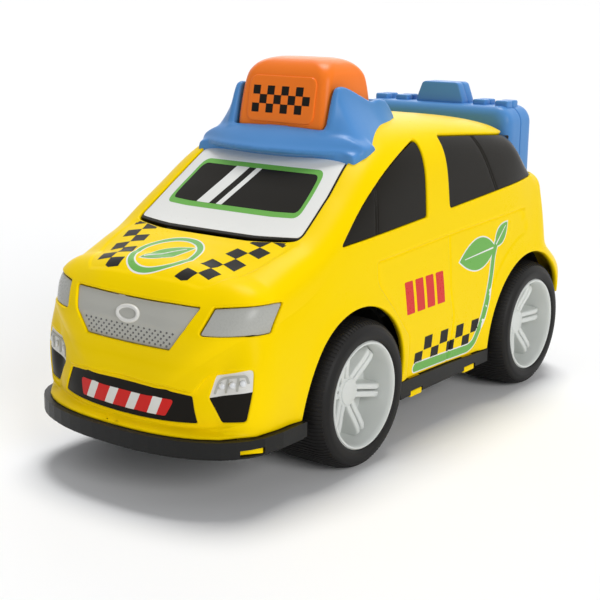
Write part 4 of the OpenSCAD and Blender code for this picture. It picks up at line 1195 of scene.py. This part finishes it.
def makeCap(spec):
    wing = [wingRing(y) for y in np.linspace(*spec["wingEnds"])]
    peak = [peakRing(x) for x in np.linspace(-spec["peakHalf"], spec["peakHalf"], 61)]
    back = [backRing(x) for x in np.linspace(-spec["backHalf"], spec["backHalf"], 21)]
    parts = [loft(wing), turned(loft(wing), flipX), loft(peak), loft(back), roundedBox(*spec["tub"], 0.5)]
    piece = linkObject("roofCap", meshOf("roofCap", parts))
    useModifier(piece, "REMESH", mode="VOXEL", voxel_size=spec["firstVoxel"] * mm)
    space = linkObject("space", meshOf("space", [roundedBox(*spec["room"], 0.05, 1)]))
    useModifier(piece, "BOOLEAN", operation="DIFFERENCE", object=space, solver="EXACT")
    bpy.data.objects.remove(space)
    useModifier(piece, "REMESH", mode="VOXEL", voxel_size=spec["voxel"] * mm)
    useModifier(piece, "SMOOTH", factor=0.5, iterations=spec["softening"])
    mesh = piece.data
    bpy.data.objects.remove(piece)
    mesh.polygons.foreach_set("use_smooth", [True] * len(mesh.polygons))
    return mesh


capMesh = makeCap(capSet)
addPiece("roofCap", capMesh, "bluePlastic", "car", "blue_plastic", "roof_cap")
print("roof cap ready:", len(capMesh.polygons), "faces")

# Roof sign: hollow rounded block that leans in, with a raised panel on its front and back
signSet = {
    "rows": [  # height, set-in of the sides, the front and the back, corner radius
        (113.6, 0, 0, 0, 3), (119, 0, 0, 0, 3), (128, 0.4, 1.2, 0.9, 3.4), (136, 1, 2.8, 2.2, 4),
        (139.5, 1.9, 4, 3.6, 5), (142, 3.8, 6, 5.6, 6), (143.4, 6.4, 8.6, 8, 6.5), (144, 9.4, 11.4, 10.6, 7)],
    "wall": 2.2, "width": 42.0, "frontY": -32.0, "depth": 33.0,
    "panel": (15.6, 120.2, 137.4, 3.2), "proud": 0.5, "panelThick": 1.5, "panelBevel": 0.35,
    "check": dict(size=3.35, columns=8, rows=3, middle=128.6, rise=0.06, thick=0.2),
}


def roundRect(w, h, r, k=8):
    points, r = [], min(r, w / 2 - 0.1, h / 2 - 0.1)
    for sx, sy, turn in ((1, 1, 0), (-1, 1, 90), (-1, -1, 180), (1, -1, 270)):
        a = np.radians(turn + 90 * np.arange(k + 1) / k)
        points.append(np.stack([sx * (w / 2 - r) + r * np.cos(a), sy * (h / 2 - r) + r * np.sin(a)], -1))
    return np.concatenate(points)


def smoothRows(rows, per):
    rows = np.asarray(rows, float)
    t = np.linspace(0, len(rows) - 1, (len(rows) - 1) * per + 1)
    return np.stack([curveAt(list(enumerate(column)), t) for column in rows.T], -1)


def makeSign(spec):
    rings = []
    wall, rows, foot = spec["wall"], smoothRows(spec["rows"], 5), spec["rows"][0]
    hollow = [row + [-wall, wall, wall, wall, -wall] for row in rows[::-1] if row[0] > foot[0] + wall + 0.5]
    hollow.append(np.add(foot, [0, wall, wall, wall, -wall]))
    for z, w, f, b, r in [*hollow, *rows]:  # down the inside, then up the outside
        low, high = spec["frontY"] + f, spec["frontY"] + spec["depth"] - b
        flat = roundRect(spec["width"] - 2 * w, high - low, r)
        rings.append(np.stack([flat[:, 0], flat[:, 1] + (low + high) / 2, np.full(len(flat), z)], -1))
    return meshOf("roofSign", [loft(rings)], True, 50)


def signFace(z, way):  # station of the front or back face at a height
    inward = curveAt([(row[0], row[2 if way < 0 else 3]) for row in signSet["rows"]], z)
    return signSet["frontY"] + (inward if way < 0 else signSet["depth"] - inward)


def signPatch(outline, way, lift, thick, cell=1.6):  # thin closed plate that follows the sign's face
    outline = dense(outline, 1.0)
    n = len(outline)
    spread = [np.arange(a + cell, b, cell) for a, b in zip(outline.min(0), outline.max(0))]
    grid = np.stack(np.meshgrid(*spread), -1).reshape(-1, 2)
    clear = lineGap(grid, np.concatenate([outline, outline[:1]])) > 0.5 * cell
    flat = np.concatenate([outline, grid[inside(grid, outline) & clear]])
    made = delaunay_2d_cdt([Vector(p) for p in flat], [(i, (i + 1) % n) for i in range(n)], [], 1, 1e-6)
    x, z = np.array([tuple(p) for p in made[0]]).T
    y, count = signFace(z, way), len(x)
    sides = [np.stack([x, y + way * out, z], -1) for out in (lift, lift - thick)]
    faces = [tuple(f) for f in made[2]] + [tuple(i + count for i in f[::-1]) for f in made[2]]
    faces += [(b, a, a + count, b + count) for a, b in openEdges(made[2])]
    return solidFrom(np.concatenate(sides), faces)


def signPanel(spec, way):
    half, low, high, r = spec["panel"]
    outline = roundRect(2 * half, high - low, r, 10) + [0, (low + high) / 2]
    bm = signPatch(outline, way, spec["proud"], spec["panelThick"])

    def onFace(v):
        return abs(v.co.y - (signFace(v.co.z / mm, way) + way * spec["proud"]) * mm) < 1e-5

    edges = [e for e in bm.edges if len(e.link_faces) == 2 and e.calc_face_angle(0) > 0.9]
    return bevelled(bm, [e for e in edges if all(onFace(v) for v in e.verts)], spec["panelBevel"], 3)


def makeSignChecks(spec, proud):
    parts, size = [], spec["size"]
    for way in (-1, 1):
        for i in range(spec["columns"]):
            for k in range(i % 2, spec["rows"], 2):
                x, z = (i - spec["columns"] / 2) * size, spec["middle"] + (k - spec["rows"] / 2) * size
                square = np.array([(x, z), (x + size, z), (x + size, z + size), (x, z + size)])
                parts.append(signPatch(square, way, proud + spec["rise"], spec["thick"]))
    return meshOf("signChecks", parts, False)


addPiece("roofSign", makeSign(signSet), "orangePlastic", "sign", "orange_plastic", "roof_sign")
panels = meshOf("signPanels", [signPanel(signSet, way) for way in (-1, 1)], True, 40)
addPiece("signPanels", panels, "orangePlastic", "sign", "orange_plastic")
signChecks = makeSignChecks(signSet["check"], signSet["proud"])
addPiece("signChecks", signChecks, "blackPrint", "sign", "switch_black")
print("sign ready")

# Suitcase: two rounded halves with latches and a handle
caseSet = {
    "width": 77.0, "seam": 92.0, "half": 11.9, "low": 76.5, "high": 121.0, "gap": 0.1,
    "rows": [  # depth from the seam, set-in, corner radius
        (0, 0.7, 6.6), (0.35, 0.2, 7.2), (0.8, 0, 7.5), (4, 0, 7.5), (7.5, 0, 7.5), (9.4, 0.5, 7),
        (10.8, 1.7, 6), (11.6, 3.2, 5), (11.9, 4.6, 4.2)],
    "latches": dict(xs=(-31, -20, 20, 31), half=3.2, low=-1.4, high=2.2, round=0.8), "trimDepth": 5,
    "handle": [(-12, 120), (12, 120), (12, 122.4), (9.4, 129.2), (8.2, 130), (-8.2, 130), (-9.4, 129.2),
               (-12, 122.4)],
    "handleBevel": 0.7,
}


def makeCaseHalf(spec, way):
    rings, low, high, seam = [], spec["low"], spec["high"], spec["seam"]
    for d, shrink, r in smoothRows(spec["rows"], 4):
        flat = roundRect(spec["width"] - 2 * shrink, high - low - 2 * shrink, r)
        y = seam + way * (spec["gap"] + min(max(d, 0), spec["half"]))
        rings.append(np.stack([flat[:, 0], np.full(len(flat), y), flat[:, 1] + (low + high) / 2], -1))
    parts, latch = [loft(rings)], spec["latches"]
    y0, y1 = sorted((seam + way * spec["gap"], seam + way * spec["trimDepth"]))
    for x in latch["xs"]:
        corners = (x - latch["half"], y0, high + latch["low"]), (x + latch["half"], y1, high + latch["high"])
        parts.append(roundedBox(*corners, latch["round"], 4))
    handle = loft([[(x, y, z) for x, z in spec["handle"]] for y in (y0, y1)])
    sharp = [e for e in handle.edges if e.calc_face_angle(0) > 0.5]
    parts.append(bevelled(handle, sharp, spec["handleBevel"], 3))
    return meshOf("suitcase", parts, True, 45)


for side, way in (("Front", -1), ("Back", 1)):
    case = makeCaseHalf(caseSet, way)
    addPiece("suitcase" + side, case, "bluePlastic", "car", "blue_plastic", "suitcase_" + side.lower())
print("suitcase ready")

# Wheels: drawn about an axle along X, with the lip of the rim at 0 and the car to the minus side
wheelSet = {  # outlines are radius and place along X
    "lipX": 53.7, "spokes": 6, "turn": {"front": 20, "rear": 32}, "sides": 128,
    "rim": [(0, -16), (5.2, -16), (5.2, -24), (7, -24), (7, -16), (17.4, -16), (17.4, -27), (19.9, -27),
            (19.9, -26), (19, -25.4), (19, -2), (19.9, -1.7), (19.95, -0.6), (19.5, 0), (18.95, 0),
            (18.45, -0.7), (18.35, -2), (18.1, -13), (5.9, -13), (5.6, -12.4), (5.6, -7.8), (5.2, -7.4),
            (4.9, -7.3), (4.75, -6.95), (4.2, -6.8), (0, -6.65)],
    "spoke": [(4.4, -13.3), (4.4, -7.7), (8, -6.9), (12, -5.7), (15.2, -5.05), (16.9, -5.3), (17.8, -6.4),
              (18.2, -13.3)],
    "barWidth": 2.3, "barShift": 1.45, "barBevel": 0.75, "bevelAbove": -9,
    "tyre": [(20, -1.8), (20, -0.3), (20.5, 0.25), (21.2, 0.42), (22.2, 0.5), (23, 0.5), (23.9, 0.32),
             (24.25, 0.02), (24.6, 0.0), (25.3, -0.5), (25.95, -1.25), (26.45, -2.1), (26.8, -3), (27.05, -4),
             (27.2, -5), (27.25, -6.5), (27.25, -24.5), (26.6, -26.3), (25.4, -27.5), (20, -27.5), (20, -25.8),
             (19.1, -25.2), (19.1, -2.2)],
    "ribs": 104, "ribWidth": 0.85, "ribHeight": 0.25, "ribFoot": 0.12, "ribTop": 0.7,
    "ribPath": [(25.75, -1.0), (26.35, -1.95), (26.75, -2.9), (27.03, -4), (27.18, -5), (27.24, -6.5),
                (27.24, -12), (27.24, -18), (27.24, -24.2), (26.8, -25.7)],
}


def revolve(profile, sides):  # closed outline turned about X
    n, points, faces = len(profile), [], []
    index = np.zeros((sides, n), int)
    for i in range(sides):
        a = 2 * math.pi * i / sides
        for k, (r, x) in enumerate(profile):
            if r == 0 and i:  # points on the axle are shared
                index[i, k] = index[0, k]
                continue
            index[i, k] = len(points)
            points.append((x, r * math.cos(a), r * math.sin(a)))
    for i in range(sides):
        j = (i + 1) % sides
        for k in range(n):
            m = (k + 1) % n
            face = list(dict.fromkeys((index[i, k], index[j, k], index[j, m], index[i, m])))
            if len(face) > 2:
                faces.append(face)
    return solidFrom(points, faces)


def spokePart(spec):
    parts = []
    for way in (-1, 1):
        low = way * spec["barShift"] - spec["barWidth"] / 2
        bar = loft([[(x, y, r) for r, x in spec["spoke"]] for y in (low, low + spec["barWidth"])])
        sharp = [e for e in bar.edges if e.calc_face_angle(0) > 1.0]
        upper = [e for e in sharp if all(v.co.x > spec["bevelAbove"] * mm for v in e.verts)]
        parts.append(bevelled(bar, upper, spec["barBevel"], 4))
    return meshOf("spokePart", parts, True, 40)


def ribPart(spec):
    path = np.array(spec["ribPath"])
    out = besideLine(path, 1) - path
    out = np.where(out[:, :1] < 0, -out, out)
    low, high = path - spec["ribFoot"] * out, path + spec["ribHeight"] * out
    half, top = spec["ribWidth"] / 2, spec["ribWidth"] / 2 * spec["ribTop"]
    rings = [[(a[1], -half, a[0]), (b[1], -top, b[0]), (b[1], top, b[0]), (a[1], half, a[0])]
             for a, b in zip(low, high)]
    return meshOf("ribPart", [loft(rings)], False)


def ringOf(name, part, count, turn, look):
    values = {"Count": count, "Turn": math.radians(turn), "Centre": (0, 0, 0)}
    return runTree(name, ringTree, bpy.data.meshes.new("empty"), part, look, values)


def makeWheels(spec):
    spoke, rib = sampleObject(spokePart(spec)), sampleObject(ribPart(spec))
    for end, y in axleY.items():
        spokes = ringOf("spokes", spoke, spec["spokes"], spec["turn"][end], "rimPlastic")
        ribs = ringOf("ribs", rib, spec["ribs"], 0.0, "tyreRubber")
        for side, way in (("Left", 1), ("Right", -1)):
            place = shifted(way * spec["lipX"], y, axleZ) @ (flipX if way < 0 else Matrix.Identity(4))
            for kind, repeated, sharp, look, slot in (("rim", spokes, 38, "rimPlastic", "rim_grey"),
                                                      ("tyre", ribs, 42, "tyreRubber", "tyre_black")):
                parts = [turned(bm, place) for bm in (revolve(spec[kind], spec["sides"]), bmOf(repeated))]
                name, node = end + kind.capitalize() + side, f"{end}_{kind}_{side.lower()}"
                addPiece(name, meshOf(kind, parts, True, sharp), look, end + "_wheels", slot, node)


makeWheels(wheelSet)
print("wheels ready")

# Finishes of the frame's own pieces that stay
keptFinish = {
    "chassisBlack": ["chassis_base", "battery_door", "speaker", "push_switch"],
    "steelBright": ["chassis_screws", "battery_door_screw", "battery_contacts", "sign_spring", "board_screws",
                    "front_axle", "rear_axle"],
    "cellJacket": ["battery_left", "battery_right"], "boardGreen": ["circuit_board"],
    "clearLamp": ["sign_lamp"], "slideGrey": ["power_slide"],
}
for look, names in keptFinish.items():
    for name in names:
        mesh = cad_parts[name].data
        if not mesh.materials:
            mesh.materials.append(None)
        for i in range(len(mesh.materials)):
            mesh.materials[i] = finish[look]
print("frame pieces dressed")

# Prints: thin patches that follow the skin, one mesh for each colour. Most are print; the white streaks on the
# windscreen are painted highlight, and the darker grey of the fog lamp ribs is painted shade of their grooves
printAndPaintedLightSet = {
    "rise": 0.05, "step": 0.045, "thick": 0.9, "thin": 0.5, "edge": 0.02, "cell": 1.6, "rim": 0.55,
    "inset": -0.12, "besideJoint": (-0.75, -0.35, 0, 0.35, 0.75),
    "bonnetBand": dict(start=(16.0, -96.2), along=(1.5, 4.7), across=(5.6, -1.3),
                       cells=[(-2, 0), (0, 0), (2, 0), (4, 0), (-1, 1), (1, 1), (3, 1), (5, 1)],
                       front=((15.1, -107.0), 0.3), rear=((21.2, -76.6), 0.3)),
    "ring": dict(middle=(-2.0, -93.8), radii=(13.2, 12.7), width=2.0),
    "bonnetLeaf": dict(foot=(-8.6, -99.4), tip=(5.4, -87.0), belly=7.6),
    "doorChecks": dict(rows=[(-8.7, 28.9, 5.75, 4.25), (-2.35, 33.2, 5.85, 5.35)], pitch=12.4, count=4,
                       tilt=-0.023),
    "stripe": dict(path=[(-7.2, 27.0), (14, 26.4), (34.6, 25.8), (38.6, 27.4), (41.0, 31.4), (43.4, 36.6),
                         (45.8, 44.2), (48.0, 54.4), (49.2, 63.0), (51.6, 68.2)], widths=(3.5, 2.7)),
    "doorLeaves": [dict(foot=(50.6, 66.4), tip=(21.6, 64.4), belly=13.0),
                   dict(foot=(50.6, 66.8), tip=(60.6, 75.6), belly=7.0)],
    "screen": dict(white=(-0.9, 1.2, 3), green=(-6.2, 4.0, 4), dark=(-7.7, 3.0, 5),  # inset, radius, level
                   # the streaks are painted highlight: white shine drawn across the dark pane
                   highlightStreaks=[(-17, 6.0), (-7.6, 2.6)], low=91.5, high=106.0, lean=7.0, level=6),
    "bumperBar": dict(outline=rounded([(-20, 31.4), (20, 31.4), (22.5, 37.4), (-22.5, 37.4)], 1.0),
                      stripes=[-18.5, -8.5, 1.5, 11.5], width=4.0, low=29, high=40, lean=3.0),
    # fog lamp ribs: raised, in a darker grey that is painted shade standing in for the shading of grooves on
    # the silver cluster
    "fogRibs": [[(-61.2, 40.8), (-59.4, 45.3), (-54.3, 46.5), (-49.8, 47.1), (-49.2, 44.6)],
                [(-57.2, 41.3), (-56.7, 43.8), (-56.3, 46.0)], [(-53.1, 42.1), (-52.8, 44.4), (-52.6, 46.6)]],
    "fogRibShading": dict(widths=(0.75, 0.75), proud=0.25),
    "blocks": dict(start=(-17.4, 50.2), size=(5.7, 13.0), lean=-2.6, pitch=7.6, count=4, radius=0.5),
}


def slanted(x, width, low, high, lean):
    return np.array([(x, low), (x + width, low), (x + width + lean, high), (x + lean, high)])


def leafOutline(foot, tip, belly):
    foot, tip = np.array(foot, float), np.array(tip, float)
    out = unit(tip - foot)[::-1] * [-1, 1] * belly
    middle = foot + 0.42 * (tip - foot)
    return np.concatenate([bezier(foot, middle + out, tip, 18)[:-1], bezier(tip, middle - out, foot, 18)[:-1]])


def leafRib(foot, tip, width=0.7):
    foot, tip = np.array(foot, float), np.array(tip, float)
    out = unit(tip - foot)[::-1] * [-1, 1] * width / 2
    a, b = foot + 0.06 * (tip - foot), foot + 0.86 * (tip - foot)
    return np.array([a - out, b - 0.4 * out, b + 0.4 * out, a + out])


def ribbon(path, widths):  # band along a soft path, round at its start
    line = softLine(path, 6)
    way = unit(np.gradient(line, axis=0))
    across = way[:, ::-1] * [-1, 1]
    half = np.linspace(*widths, len(line))[:, None] / 2
    a = np.linspace(math.pi / 2, 3 * math.pi / 2, 9)[1:-1, None]
    start = line[0] + half[0] * (np.cos(a) * way[0] + np.sin(a) * across[0])
    return np.concatenate([start, line - half * across, (line + half * across)[::-1]])


def patch(outline, view, where, level=0, holes=(), relief=bodyRelief, depth=0.0, thick=printAndPaintedLightSet["thick"]):
    s = printAndPaintedLightSet
    outline = dense(outline, 1.2)
    inner, lines = grown(outline, s["inset"]), []
    loops = [findOnSkin(dense(hole, 1.2), view, where) for hole in holes]
    if view is topView:  # the print bends where the nose begins
        path = np.stack([np.arange(-40, 40, 0.2), np.full(400, skinSet["noseY"])], -1)
        path = path[inside(path, inner)]
        if len(path) > 1:
            bend = findOnSkin(path, view, where)
            bend[:, 1] = skinSet["noseV"]
            lines += outsideRuns(bend, loops)
    if view is sideView:  # the door joint runs on through the print
        for joint in jointLines:
            for d in s["besideJoint"]:
                path = dense(besideLine(joint, d), 0.8, False)
                path = path[inside(path, inner)]
                if len(path) > 1:
                    lines.append(findOnSkin(path, view, where))
    rise = s["rise"] + s["step"] * level
    loop = findOnSkin(outline, view, where)
    return skinSheet(loop, loops, lines, depth - rise, thick, relief, s["edge"], s["cell"], 1)


def bonnetChecks(spec):
    start, along, across = (np.array(spec[k], float) for k in ("start", "along", "across"))
    for i, j in spec["cells"]:
        a = start + i * along + j * across
        cell = np.array([a, a + across, a + across + along, a + along])
        cell = halfPlane(halfPlane(cell, *spec["front"], True), *spec["rear"], False)
        if len(cell) > 2:
            yield cell


def doorChecks(spec):
    for y0, z0, width, height in spec["rows"]:
        for i in range(spec["count"]):
            z = z0 + spec["tilt"] * i * spec["pitch"]
            yield slanted(y0 + i * spec["pitch"], width, z, z + height, 0)


def doorBlocks(spec):
    (y, z), (width, height) = spec["start"], spec["size"]
    for i in range(spec["count"]):
        yield rounded(slanted(y + i * spec["pitch"], width, z, z + height, spec["lean"]), spec["radius"])


def makePrintsAndPaintedLight(s):
    black, green, white, red, ribs = [], [], [], [], []
    for cell in bonnetChecks(s["bonnetBand"]):
        black += bothSheets(patch(cell, topView, onBonnet))
    for cell in doorChecks(s["doorChecks"]):
        black += bothSheets(patch(cell, sideView, onLeft))
    ring = s["ring"]
    for sheets, level, rim in ((white, 0, s["rim"]), (green, 1, 0)):
        loop, hole = (ellipse(ring["middle"], np.add(ring["radii"], d)) for d in (rim, -ring["width"] - rim))
        sheets.append(patch(loop, topView, onBonnet, level, [hole]))
    leaf = leafOutline(**s["bonnetLeaf"])
    green.append(patch(leaf, topView, onBonnet, 3))
    white.append(patch(grown(leaf, s["rim"]), topView, onBonnet))
    white.append(patch(leafRib(s["bonnetLeaf"]["foot"], s["bonnetLeaf"]["tip"]), topView, onBonnet, 6))
    for outline in (ribbon(**s["stripe"]), *(leafOutline(**leaf) for leaf in s["doorLeaves"])):
        green += bothSheets(patch(outline, sideView, onLeft, 1))
        white += bothSheets(patch(grown(outline, s["rim"]), sideView, onLeft))
    for leaf in s["doorLeaves"]:
        white += bothSheets(patch(leafRib(leaf["foot"], leaf["tip"]), sideView, onLeft, 2))
    for block in doorBlocks(s["blocks"]):
        red += bothSheets(patch(block, sideView, onLeft))
    pane, bar = s["screen"], s["bumperBar"]
    onPane = dict(view=frontView, where=onScreen, relief=None, depth=glassSet["depth"], thick=s["thin"])
    for sheets, key in ((white, "white"), (green, "green"), (black, "dark")):
        inset, radius, level = pane[key]
        glass = rounded(grown(screenCorners, inset), radius)
        sheets.append(patch(glass, level=level, **onPane))
    for x, width in pane["highlightStreaks"]:  # white streaks of painted highlight, a shine on the glass, kept inside the dark pane, the last of the three
        streak = slanted(x, width, pane["low"], pane["high"], pane["lean"])
        white.append(patch(clipped(streak, glass), level=pane["level"], **onPane))
    recess = noseSet["recess"]["depth"]
    onRecess = dict(view=frontView, where=onNose, depth=recess, thick=s["thin"])
    red.append(patch(bar["outline"], **onRecess))
    for x in bar["stripes"]:
        streak = slanted(x, bar["width"], bar["low"], bar["high"], bar["lean"])
        white.append(patch(clipped(streak, bar["outline"]), level=1, **onRecess))
    # fog lamp ribs: real raised ribs, their darker grey painted shade of grooves
    for path in s["fogRibs"]:
        rib = ribbon(path, s["fogRibShading"]["widths"])
        depth = recess - s["fogRibShading"]["proud"]
        ribs += bothSheets(patch(rib, cornerView, onNoseLeft, depth=depth, thick=s["thin"]))
    return [("fogRibs", ribs, "greyTrim", "grey_trim"), ("blackMarks", black, "blackPrint", "switch_black"),
            ("greenMarks", green, "greenPrint", "board"), ("whiteMarks", white, "whitePrint", "lamp_clear"),
            ("redMarks", red, "redPrint", "orange_plastic")]


for name, sheets, look, slot in makePrintsAndPaintedLight(printAndPaintedLightSet):
    addPiece(name, sheetMesh(name, sheets), look, "car", slot)
print("prints ready")
